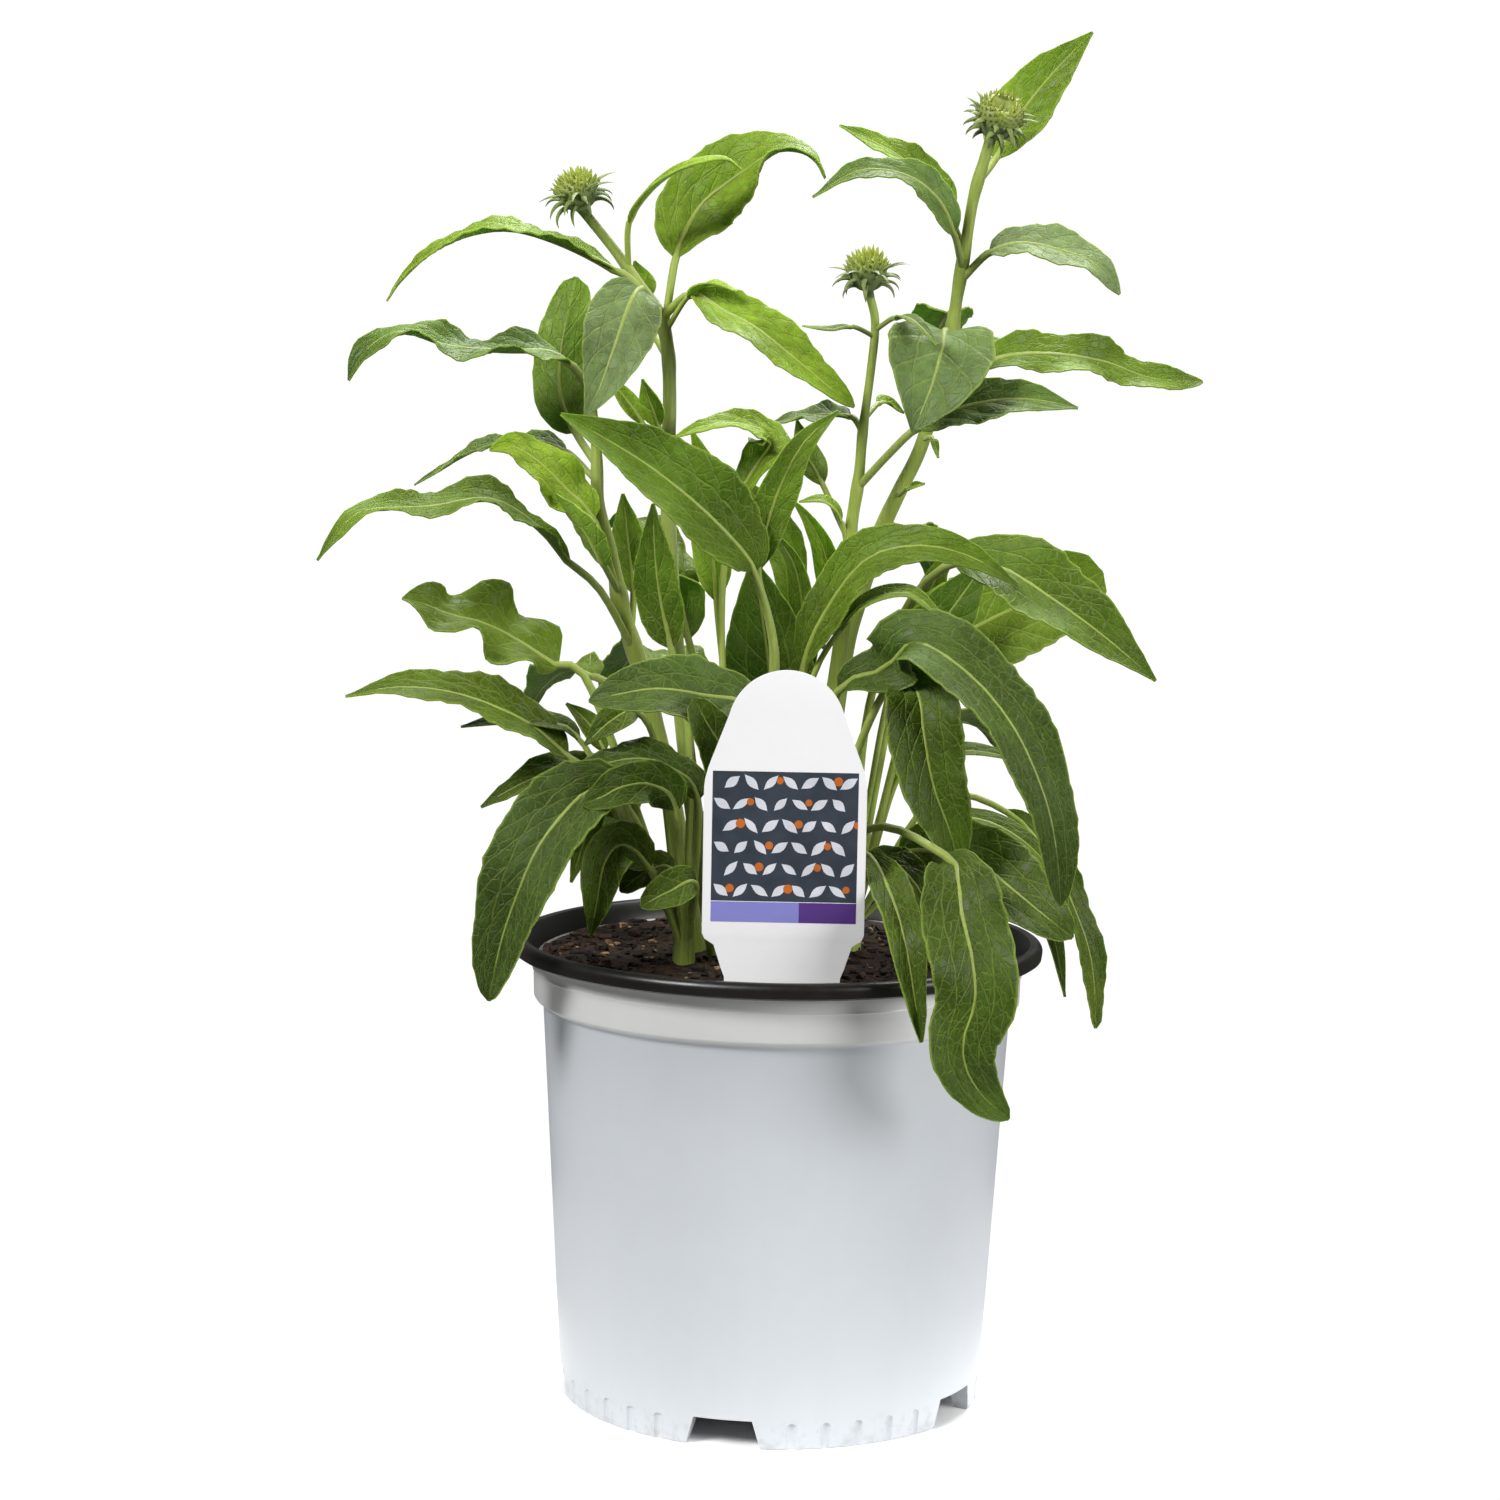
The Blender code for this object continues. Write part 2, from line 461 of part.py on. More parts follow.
def drain_cutter(angle, collection):
    """A trapezoid block, wider at the foot, through the foot ring from outside."""
    depth = FOOT_WIDTH + 0.012
    middle = BASE_RADIUS - FOOT_WIDTH / 2
    points = []
    for radius in (middle - depth / 2, middle + depth / 2):
        for z, width in ((-0.002, DRAIN_FOOT_WIDTH), (DRAIN_HEIGHT, DRAIN_TOP_WIDTH)):
            points += [(radius, -width / 2, z), (radius, width / 2, z)]
    faces = [(0, 2, 3, 1), (4, 5, 7, 6), (0, 1, 5, 4), (2, 6, 7, 3), (0, 4, 6, 2), (1, 3, 7, 5)]
    turn = Matrix.Rotation(angle, 3, "Z")
    cutter = add_mesh("drain_cutter", [turn @ Vector(p) for p in points], faces, collection)
    as_helper(cutter)


def flute_cutter(angle, collection):
    """A round-topped upright bar whose edge bites a shallow flute into the wall's foot."""
    shape = bmesh.new()
    straight = FLUTE_HEIGHT - FLUTE_RADIUS
    bmesh.ops.create_cone(shape, cap_ends=True, segments=8, radius1=FLUTE_RADIUS,
                          radius2=FLUTE_RADIUS * 0.8, depth=straight + 0.002,
                          matrix=Matrix.Translation((0, 0, straight / 2)))
    mesh = bpy.data.meshes.new("flute_cutter")
    shape.to_mesh(mesh)
    shape.free()
    cutter = add_object("flute_cutter", mesh, collection)
    reach = BASE_RADIUS + FLUTE_RADIUS - FLUTE_DEPTH
    cutter.location = (reach * math.cos(angle), reach * math.sin(angle), 0)
    as_helper(cutter)


def make_pot(parts, cutters):
    pot = turned("pot", pot_profile(), POT_SIDES, parts,
                 plain_material("white_plastic", POT_WHITE, 0.4))
    bay = 360 / DRAIN_COUNT
    first_flute = (bay - (FLUTES_PER_BAY - 1) * FLUTE_PITCH) / 2
    for i in range(DRAIN_COUNT):
        start = DRAIN_START + i * bay
        drain_cutter(math.radians(start), cutters)
        for j in range(FLUTES_PER_BAY):
            flute_cutter(math.radians(start + first_flute + j * FLUTE_PITCH), cutters)
    boolean(pot, cutters, "DIFFERENCE")
    shade_smooth(pot)
    return pot


def soil_edge_radius(height):
    """Radius of the soil, clear of the pot's inner wall."""
    wall_top = wall_radius(COLLAR_BOTTOM) - WALL
    if height <= COLLAR_BOTTOM:
        return wall_radius(height) - WALL - GAP
    rise = min((height - COLLAR_BOTTOM) / 0.004, 1)
    return wall_top - GAP + (COLLAR_RADIUS - WALL - wall_top) * rise * 0.8


def soil_height(x, y):
    """Surface of the soil: a low mound with the relief of bark chips."""
    radius = math.hypot(x, y)
    chips = (math.sin(x * 620 + 1.3) * math.cos(y * 540 - 0.4)
             + 0.6 * math.sin(x * 1130 - y * 980 + 2.1) * math.cos(y * 1240 + x * 310))
    return SOIL_TOP + SOIL_MOUND * (1 - (radius / RIM_INNER_RADIUS) ** 2) + SOIL_RELIEF * chips * 0.6


def label_slot(cutters):
    width = LABEL_STAKE_WIDTH + 2 * HOLE_CLEARANCE
    thickness = LABEL_THICKNESS + 2 * HOLE_CLEARANCE
    bottom = LABEL_POINT - GAP
    top = SOIL_TOP + 0.02
    bpy.ops.mesh.primitive_cube_add(size=1, location=(LABEL_CENTRE_X, LABEL_Y, (bottom + top) / 2))
    slot = bpy.context.object
    slot.scale = (width, thickness, top - bottom)
    slot.name = "label_slot"
    bpy.context.view_layer.update()
    slot.data.transform(Matrix.Diagonal((*slot.scale, 1)))
    slot.scale = (1, 1, 1)
    move_to(slot, cutters)
    as_helper(slot)


def make_soil(parts, cutters):
    """A plug that fills the pot, with a plain hole for each stem and a slot for the label."""
    bottom = FLOOR_HEIGHT + GAP
    points = [(0, 0, soil_height(0, 0))]
    for ring in range(1, SOIL_RINGS + 1):
        for k in range(POT_SIDES):
            angle = 2 * math.pi * (k + 0.5 * (ring % 2)) / POT_SIDES
            radius = soil_edge_radius(SOIL_TOP) * ring / SOIL_RINGS
            x, y = radius * math.cos(angle), radius * math.sin(angle)
            points.append((x, y, soil_height(x, y)))
    turn = 0.5 * (SOIL_RINGS % 2)
    for height in (COLLAR_BOTTOM - 0.001, bottom):
        for k in range(POT_SIDES):
            angle = 2 * math.pi * (k + turn) / POT_SIDES
            radius = soil_edge_radius(height)
            points.append((radius * math.cos(angle), radius * math.sin(angle), height))
    faces = []
    for k in range(POT_SIDES):
        faces.append((0, 1 + k, 1 + (k + 1) % POT_SIDES))
    for ring in range(SOIL_RINGS + 1):
        inner = 1 + ring * POT_SIDES
        outer = inner + POT_SIDES
        shift = 0 if ring >= SOIL_RINGS - 1 else (1 - (ring + 1) % 2)
        for k in range(POT_SIDES):
            after = (k + 1) % POT_SIDES
            if ring >= SOIL_RINGS - 1:
                faces += [(inner + k, outer + k, outer + after), (inner + k, outer + after, inner + after)]
            elif shift:
                faces += [(inner + k, outer + after, inner + after), (inner + k, outer + k, outer + after)]
            else:
                faces += [(inner + k, outer + k, inner + after), (inner + after, outer + k, outer + after)]
    last = 1 + (SOIL_RINGS + 1) * POT_SIDES
    faces.append(tuple(last + k for k in reversed(range(POT_SIDES))))
    soil = add_mesh("soil", points, faces, parts, plain_material("potting_soil", SOIL_BROWN, 0.95))
    for stem in (*STEMS.values(), *CROWNS.values()):
        x, y, _ = stem.path[0]
        bpy.ops.mesh.primitive_cylinder_add(
            vertices=12, radius=stem.foot_radius * MM + HOLE_CLEARANCE, depth=HOLE_DEPTH + 0.03,
            location=(x * MM, y * MM, SOIL_TOP - HOLE_DEPTH + (HOLE_DEPTH + 0.03) / 2))
        hole = bpy.context.object
        move_to(hole, cutters)
        as_helper(hole)
    label_slot(cutters)
    boolean(soil, cutters, "DIFFERENCE")
    shade_smooth(soil)
    return soil


def label_outline():
    """Half outline of the label, from the top of its arch down to its point."""
    half = LABEL_WIDTH / 2
    stake = LABEL_STAKE_WIDTH / 2
    centre = LABEL_TOP - LABEL_ARCH_RADIUS
    arch = [(LABEL_ARCH_RADIUS * math.sin(a), centre + LABEL_ARCH_RADIUS * math.cos(a))
            for a in (math.radians(d) for d in range(0, 76, 15))]
    shoulder = [(half - 0.0012, LABEL_SHOULDER_TOP + 0.006), (half, LABEL_SHOULDER_TOP),
                (half, LABEL_SHOULDER_BOTTOM), (half - 0.0035, LABEL_SHOULDER_BOTTOM - 0.0035),
                (stake, LABEL_SHOULDER_BOTTOM - 0.013), (stake, LABEL_POINT + 0.016)]
    return arch + shoulder + [(0, LABEL_POINT)]


def make_label(parts):
    half = label_outline()
    outline = half + [(-x, z) for x, z in reversed(half[1:-1])]
    curve = bpy.data.curves.new("plant_label", "CURVE")
    curve.dimensions = "2D"
    curve.fill_mode = "BOTH"
    curve.extrude = LABEL_THICKNESS / 2
    spline = curve.splines.new("POLY")
    spline.points.add(len(outline) - 1)
    for point, (x, z) in zip(spline.points, outline):
        point.co = (x, z, 0, 1)
    spline.use_cyclic_u = True
    guide = bpy.data.objects.new("label_outline", curve)
    parts.objects.link(guide)
    guide.location = (LABEL_CENTRE_X, LABEL_Y, 0)
    guide.rotation_euler = (math.pi / 2, 0, 0)
    bpy.context.view_layer.update()
    label = mesh_of_curve("plant_label", guide, parts,
                          plain_material("white_label", LABEL_WHITE, 0.35))
    return label


def mesh_of_curve(name, guide, collection, material=None):
    """A curve object made a mesh in place, with its caps welded on."""
    graph = bpy.context.evaluated_depsgraph_get()
    mesh = bpy.data.meshes.new_from_object(guide.evaluated_get(graph))
    mesh.transform(guide.matrix_world)
    shape = bmesh.new()
    shape.from_mesh(mesh)
    bmesh.ops.remove_doubles(shape, verts=shape.verts, dist=0.00001)
    bmesh.ops.recalc_face_normals(shape, faces=shape.faces)
    shape.to_mesh(mesh)
    shape.free()
    mesh.materials.clear()
    bpy.data.objects.remove(guide)
    return add_object(name, mesh, collection, material)


def smooth_line(points, steps):
    """Points along a rounded line through the given ones, steps to a span."""
    points = [np.asarray(p, float) for p in points]
    ends = [2 * points[0] - points[1]] + points + [2 * points[-1] - points[-2]]
    line = []
    for a, b, c, d in zip(ends, ends[1:], ends[2:], ends[3:]):
        for t in np.arange(steps) / steps:
            line.append(0.5 * (2 * b + (c - a) * t + (2 * a - 5 * b + 4 * c - d) * t ** 2
                               + (3 * b - a - 3 * c + d) * t ** 3))
    line.append(points[-1])
    return np.array(line)


def lengths_along(line):
    return np.concatenate([[0], np.cumsum(np.linalg.norm(np.diff(line, axis=0), axis=1))])


def point_at(line, along, distance):
    return np.array([np.interp(distance, along, line[:, axis]) for axis in range(3)])


def axis_at_height(path, height):
    """The point of a stem's middle line at a height."""
    line = smooth_line(path, 6)
    return np.array([np.interp(height, line[:, 2], line[:, 0]),
                     np.interp(height, line[:, 2], line[:, 1]), height])


def blade_shape(t, blunt):
    """Share of the full width at t along the blade: round at the foot, and drawn out or blunt at the tip."""
    turn = math.log(0.5) / math.log(WIDEST_AT)
    rounding = 0.9 if t < WIDEST_AT else 0.9 - 0.6 * blunt
    return abs(math.sin(math.pi * min(max(t, 0.0), 1.0) ** turn)) ** rounding


def leaf_rings(leaf, path):
    """Cross-sections along a leaf: six points each, three on the upper and three on the lower side."""
    root = axis_at_height(path, leaf.root)
    if len(path) == 2:
        root[:2] += CROWN_SPREAD * (np.array(leaf.path[0][:2]) - root[:2]) / (
            np.linalg.norm(np.array(leaf.path[0][:2]) - root[:2]) + 1e-6)
    points = [root] + [np.array(p, float) for p in leaf.path]
    line = smooth_line(points, 8) * MM
    along = lengths_along(line)
    start = along[8 * leaf.shoulder]
    blade = along[-1] - start
    segments = int(min(max(round(blade / STATION_SPACING), 3), 9)) if leaf.wave < 5 else 9
    stalk = 2 if start < 0.03 else 3
    face, end_face = (np.array(f, float) for f in (leaf.face, leaf.end_face or leaf.face))
    phase = random.Random(leaf.name).uniform(0, 2 * math.pi) if leaf.phase is None else leaf.phase
    waves = 1.6 + blade / 0.06
    rings = []
    for k in range(stalk + segments + 1):
        t = (k - stalk) / segments
        distance = start * k / stalk if k < stalk else start + blade * t
        middle = point_at(line, along, distance)
        tangent = (point_at(line, along, min(distance + 0.002, along[-1]))
                   - point_at(line, along, max(distance - 0.002, 0)))
        tangent /= np.linalg.norm(tangent)
        turned = face + (end_face - face) * min(max(t, 0), 1) ** 2
        up = turned - turned.dot(tangent) * tangent
        up /= np.linalg.norm(up)
        side = np.cross(tangent, up)
        half = PETIOLE_WIDTH / 2
        thick = PETIOLE_THICKNESS / 2
        rises = [0, 0]
        if k > stalk:
            share = blade_shape(t, leaf.blunt)
            tooth = 1 + TOOTH * (1 if k % 2 else -1) * (leaf.width > 12)
            half = max(leaf.width * MM / 2 * share * tooth, 0.0008)
            thick = LEAF_THICKNESS / 2
            wave = leaf.wave * MM * share
            rises = [leaf.fold * half + wave * math.sin(waves * 2 * math.pi * t + phase + lag)
                     for lag in (0, 2)]
        left = middle - side * half + up * rises[0]
        right = middle + side * half + up * rises[1]
        rings.append([left + up * thick, middle + up * thick, right + up * thick,
                      right - up * thick, middle - up * thick * 1.6, left - up * thick])
    return rings


def leaf_mesh(leaf, path, collection):
    """A closed blade on its stalk, each waved strip split alike on its upper and lower side."""
    rings = leaf_rings(leaf, path)
    points = [p for ring in rings for p in ring]
    faces = []
    for k in range(len(rings) - 1):
        a, b = 6 * k, 6 * (k + 1)
        faces += [(a, a + 1, b + 1), (a, b + 1, b), (a + 1, a + 2, b + 2), (a + 1, b + 2, b + 1)]
        faces += [(a + 5, b + 4, a + 4), (a + 5, b + 5, b + 4), (a + 4, b + 3, a + 3), (a + 4, b + 4, b + 3)]
        faces += [(a, b + 5, a + 5), (a, b, b + 5), (a + 3, b + 2, a + 2), (a + 3, b + 3, b + 2)]
    end = 6 * (len(rings) - 1)
    faces += [(0, 4, 1), (0, 5, 4), (1, 3, 2), (1, 4, 3)]
    faces += [(end, end + 1, end + 4), (end, end + 4, end + 5), (end + 1, end + 2, end + 3),
              (end + 1, end + 3, end + 4)]
    return add_mesh(leaf.name, points, faces, collection)


def stem_mesh(name, stem, collection, material):
    """The rounded stem, standing straight in its hole in the soil and tapering to its top."""
    x, y, _ = stem.path[0]
    foot = SOIL_TOP / MM - HOLE_DEPTH / MM + GAP / MM
    line = smooth_line(stem.path, 2)
    points = [(x, y, foot), (x, y, SOIL_TOP / MM - 8)] + [tuple(p) for p in line]
    curve = bpy.data.curves.new(name, "CURVE")
    curve.dimensions = "3D"
    curve.bevel_depth = MM
    curve.bevel_resolution = STEM_BEVEL
    curve.use_fill_caps = True
    spline = curve.splines.new("POLY")
    spline.points.add(len(points) - 1)
    for i, (point, co) in enumerate(zip(spline.points, points)):
        share = max(i - 2, 0) / (len(points) - 3)
        point.co = (*(v * MM for v in co), 1)
        point.radius = stem.foot_radius + (stem.top_radius - stem.foot_radius) * min(share * 1.4, 1)
    guide = bpy.data.objects.new(name + "_line", curve)
    collection.objects.link(guide)
    bpy.context.view_layer.update()
    return mesh_of_curve(name, guide, collection, material)


def make_leafy_stem(name, stem, parts, helpers, material):
    obj = stem_mesh(name, stem, parts, material)
    for leaf in stem.leaves:
        leaf_mesh(leaf, stem.path, helpers)
    boolean(obj, helpers, "UNION", "MANIFOLD")
    shade_smooth(obj, 60)
    return obj


def spike(name, points, widths, up, collection):
    """A closed three-sided blade through the points, drawn out to a point at the last one."""
    corners = []
    for k, width in enumerate(widths):
        ahead = (points[k + 1] - points[max(k - 1, 0)]).normalized()
        side = ahead.cross(up).normalized()
        rise = side.cross(ahead).normalized()
        corners += [points[k] + side * width, points[k] + rise * width * 0.6, points[k] - side * width]
    corners.append(points[-1])
    faces = [(0, 1, 2)]
    for a in range(0, 3 * (len(widths) - 1), 3):
        faces += [(a + i, a + 3 + i, a + 3 + (i + 1) % 3, a + (i + 1) % 3) for i in range(3)]
    last = 3 * (len(widths) - 1)
    faces += [(last + i, last + 3, last + (i + 1) % 3) for i in range(3)]
    return add_mesh(name, corners, faces, collection)


def head_axes(stem, face):
    """Where a head's foot clears the end of its stem, the frame with Z the way it faces, and the
    way its stem comes in, in that frame."""
    line = smooth_line(stem.path, 2) * MM
    top = Vector(line[-1])
    along = (top - Vector(line[-2])).normalized()
    turn = Vector(face).normalized().to_track_quat("Z", "Y").to_matrix()
    return top + along * GAP, turn, turn.transposed() @ along


def bent_neck(along, foot_radius, top_radius, height, collection):
    """A closed skewed cone from a foot square to the stem to a level top."""
    points = []
    for centre, axis, radius in ((Vector(), along, foot_radius),
                                 (Vector((0, 0, height)), Vector((0, 0, 1)), top_radius)):
        for k in range(NECK_SIDES):
            around = 2 * math.pi * k / NECK_SIDES
            out = Vector((math.cos(around), math.sin(around), 0))
            points.append(centre + (out - out.dot(axis) * axis).normalized() * radius)
    faces = [tuple(reversed(range(NECK_SIDES))), tuple(range(NECK_SIDES, 2 * NECK_SIDES))]
    for k in range(NECK_SIDES):
        after = (k + 1) % NECK_SIDES
        faces += [(k, after, NECK_SIDES + after), (k, NECK_SIDES + after, NECK_SIDES + k)]
    return add_mesh("neck", points, faces, collection)


def make_head(name, stem, radius, height, face, parts, helpers, material):
    """A bud: a low dome packed with pointed scales over rings of curling green bracts."""
    draw = random.Random(name)
    foot, turn, along = head_axes(stem, face)
    radius, height = radius * MM, height * MM
    neck = 0.0030
    middle = Vector((0, 0, neck + height * 0.40))
    bpy.ops.mesh.primitive_uv_sphere_add(segments=9, ring_count=6, radius=1)
    core = bpy.context.object
    core.name = name
    core.data.transform(Matrix.Translation(middle) @ Matrix.Diagonal((radius, radius, height / 2, 1)))
    move_to(core, parts)
    core.data.materials.append(material)
    bent_neck(along, stem.top_radius * MM + HEAD_FOOT_FLARE, radius * 0.55, neck + 0.001, helpers)
    for i in range(HEAD_SCALES):
        tilt = math.acos(1 - 0.95 * (i + 0.5) / HEAD_SCALES)
        around = i * GOLDEN_ANGLE
        out = Vector((math.sin(tilt) * math.cos(around), math.sin(tilt) * math.sin(around), math.cos(tilt)))
        base = middle + Vector((out.x * radius, out.y * radius, out.z * height / 2)) * 0.9
        tip = base + (out + Vector((0, 0, 0.7))).normalized() * draw.uniform(0.0026, 0.0034)
        spike("scale", [base, tip], [0.0013], Vector((0.3, 0.5, 0.8)), helpers)
    for ring, count in enumerate(HEAD_BRACTS):
        for i in range(count):
            around = 2 * math.pi * (i + 0.33 * ring) / count + draw.uniform(-0.1, 0.1)
            out = Vector((math.cos(around), math.sin(around), 0))
            low = -0.05 - 0.28 * ring
            base = middle + out * radius * (0.86 - 0.10 * ring) + Vector((0, 0, low * height / 2))
            reach = draw.uniform(0.0046, 0.0060)
            lift = 0.0018 - 0.0024 * ring
            bend = base + out * reach * 0.65 + Vector((0, 0, lift))
            tip = base + out * reach + Vector((0, 0, lift - draw.uniform(0.0020, 0.0036)))
            spike("bract", [base, bend, tip], [0.0014, 0.0011], Vector((0, 0, 1)), helpers)
    boolean(core, helpers, "UNION", "MANIFOLD")
    core.data.transform(Matrix.Translation(foot) @ turn.to_4x4())
    shade_smooth(core, 40)
    return core


def main():
    clear_scene()
    parts = new_collection("coneflower_in_pot")
    cutters = new_collection("cutters")
    helpers = new_collection("joined_pieces")
    make_pot(parts, cutters)
    make_soil(parts, cutters)
    make_label(parts)
    leaf_green = plain_material("leaf_green", LEAF_GREEN, 0.55)
    stem_green = plain_material("stem_green", STEM_GREEN, 0.5)
    bud_green = plain_material("bud_green", BUD_GREEN, 0.6)
    for name, stem in STEMS.items():
        make_leafy_stem(name, stem, parts, helpers, stem_green)
    for name, crown in CROWNS.items():
        make_leafy_stem(name, crown, parts, helpers, leaf_green)
    for name, (stem, radius, height, face) in HEADS.items():
        make_head(name, STEMS[stem], radius, height, face, parts, helpers, bud_green)


main()
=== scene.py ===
"""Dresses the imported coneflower: pot, soil, label, stems, leaves and buds, and the studio.

Lengths are metres, and the plant's own points are whole millimetres, from the middle of the pot's
foot. +Z is up, and the label faces -Y.
"""

import math
import random
from collections import namedtuple
from contextlib import contextmanager
from functools import reduce

import bpy
import numpy as np
from mathutils import Matrix, Vector, noise


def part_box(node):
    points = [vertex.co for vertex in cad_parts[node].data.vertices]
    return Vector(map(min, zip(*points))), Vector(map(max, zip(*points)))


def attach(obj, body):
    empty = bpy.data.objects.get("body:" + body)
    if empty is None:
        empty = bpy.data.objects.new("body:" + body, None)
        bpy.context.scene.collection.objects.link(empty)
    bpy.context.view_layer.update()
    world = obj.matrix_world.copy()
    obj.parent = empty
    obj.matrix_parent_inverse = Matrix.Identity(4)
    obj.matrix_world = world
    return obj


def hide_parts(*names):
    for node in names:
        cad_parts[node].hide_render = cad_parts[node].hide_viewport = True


bl_info = {
    "name": "Potted Coneflower",
    "version": (1, 0, 0),
    "blender": (4, 5, 0),
    "location": "3D View > Sidebar > Coneflower",
    "description": "Builds the pot, soil, label, stems, leaves and buds of a potted coneflower",
    "category": "Object",
}

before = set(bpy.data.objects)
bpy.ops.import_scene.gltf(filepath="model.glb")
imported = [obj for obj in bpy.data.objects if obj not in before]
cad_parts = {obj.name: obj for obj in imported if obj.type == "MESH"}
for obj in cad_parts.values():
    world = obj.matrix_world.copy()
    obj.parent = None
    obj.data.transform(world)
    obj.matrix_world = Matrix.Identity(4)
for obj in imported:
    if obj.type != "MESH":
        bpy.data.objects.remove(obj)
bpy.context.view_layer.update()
POT_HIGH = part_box("pot")[1]
LABEL_LOW, LABEL_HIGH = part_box("plant_label")

MM = 0.001
TOUCHING = 1e-6
GOLDEN_ANGLE = math.radians(137.508)

# the pot's section, as moulded, and its drain notches and flutes, which are spaced in degrees
RIM_RADIUS = 0.0825
RIM_INNER_RADIUS = 0.0775
RIM_TOP = 0.144
RIM_HEIGHT = 0.005
RIM_ROLL = 0.0022
COLLAR_RADIUS = 0.0757
COLLAR_BOTTOM = 0.1240
COLLAR_RIDGE = 0.1340
BASE_RADIUS = 0.0658
WALL_TOP_RADIUS = 0.0728
WALL = 0.0016
POT_SIDES = 180
FLOOR_HEIGHT = 0.0085
FLOOR_THICKNESS = 0.0020
FOOT_WIDTH = 0.0050
DRAIN_COUNT = 5
DRAIN_START = 258.0
DRAIN_TOP_WIDTH = 0.018
DRAIN_FOOT_WIDTH = 0.024
DRAIN_HEIGHT = 0.0088
DRAIN_DEPTH = 0.017
FLUTES_PER_BAY = 5
FLUTE_PITCH = 9.0
FLUTE_RADIUS = 0.0021
FLUTE_HEIGHT = 0.0085
FLUTE_DEPTH = 0.0008

# the soil bed, with its low mound and the lumps on it, and the chips' lengths in mm
SOIL_TOP = 0.138
SOIL_MOUND = 0.0015
SOIL_LUMPS = 0.0013
SOIL_EDGE = COLLAR_RADIUS - 0.0021
SOIL_DEPTH = 0.012
SOIL_SIDES = 120
SOIL_RINGS = 46
CHIP_LENGTHS = (0.8, 1.0, 1.2, 1.5, 2.0, 2.5, 3.5)

# the label's outline, its printed fields, and how far each stands out from the one beneath
LABEL_THICKNESS = 0.0008
LABEL_TOP = 0.2335
LABEL_WIDTH = 0.0475
LABEL_ARCH_RADIUS = 0.0172
LABEL_SHOULDER_BOTTOM = 0.1560
LABEL_SHOULDER_TOP = 0.1990
LABEL_STAKE_WIDTH = 0.0340
LABEL_POINT = 0.1080
PICTURE_BOX = (0.0425, 0.1656, 0.2038)
STRIP_BOX = (0.1594, 0.1654)
STRIP_SPLIT = 0.0045
PLATE = 0.00004
MOTIF = 0.00003
MOTIF_ROWS, MOTIF_COLUMNS = 6, 7

# how a blade and its stalk are shaped, with the steps to each span of their line, and the share
# of the blade that the stalk runs on beneath
LINE_STEPS = 8
PETIOLE_RADIUS = 0.0011
PETIOLE_STEPS = 26
PETIOLE_REACH = 0.86
LEAF_FOLD = 0.22
WIDEST_AT = 0.36
ROW_SPACING = 0.0019
LOOK_AHEAD = 0.003
TOOTH_PITCH = 0.0075
TOOTH, FINE_TOOTH = 0.05, 0.02
WAVE_PITCH = 0.06
RIPPLE_PITCH, RIPPLE_HEIGHT = 0.0062, 0.0004
GROOVE_WIDTH, GROOVE_DEPTH = 0.0010, 0.00045

# the veins: the long one along each half, the slanting ones to a metre of blade, and the nets'
# cells to a metre with the share of a cell that their lines take. A blade's net starts many of its
# own lengths along the pattern, so that no two blades have the same net, and wanders by the drift
SIDE_VEIN_AT = 0.46
SIDE_VEIN_WIDTH, SIDE_VEIN_DEPTH = 0.0011, 0.00030
LATERALS = 110.0
LATERAL_SLANT = 0.30
PUCKER_HEIGHT = 0.00042
NETS = ((330.0, 0.10), (860.0, 0.16))
NET_START = 29.0
NET_DRIFT = 0.0026

# leaves are darker low down, partly as the lower leaves are older and partly as painted shade among
# the others, and lighter at the top as painted light in the open
AGE_AND_SHADE_HEIGHTS = (0.17, 0.34)
AGE_AND_SHADE_LEVELS = (0.52, 1.15)

# a leaf: its blade's width in mm, the height of its root, the point where the blade starts, the
# way its upper side faces, the height of its edge's waves, how young it is up to 100, and lower on
# leaves that sit in shade as painted shade, or below 0 how grey with hairs, with a painted sheen in
# that grey, and its midrib's points. Then how steeply its halves fold and how blunt its tip is, the
# way it faces at the tip where it twists, and where its waves start, in radians, where that isn't
# left to a seeded draw
Leaf = namedtuple("Leaf", "name width root shoulder face wave young path fold blunt end_face phase",
                  defaults=(LEAF_FOLD, 0, None, None))

# a stem: its radius at the foot and at the top, its middle line, and its leaves, in mm
Stem = namedtuple("Stem", "foot_radius top_radius path leaves")

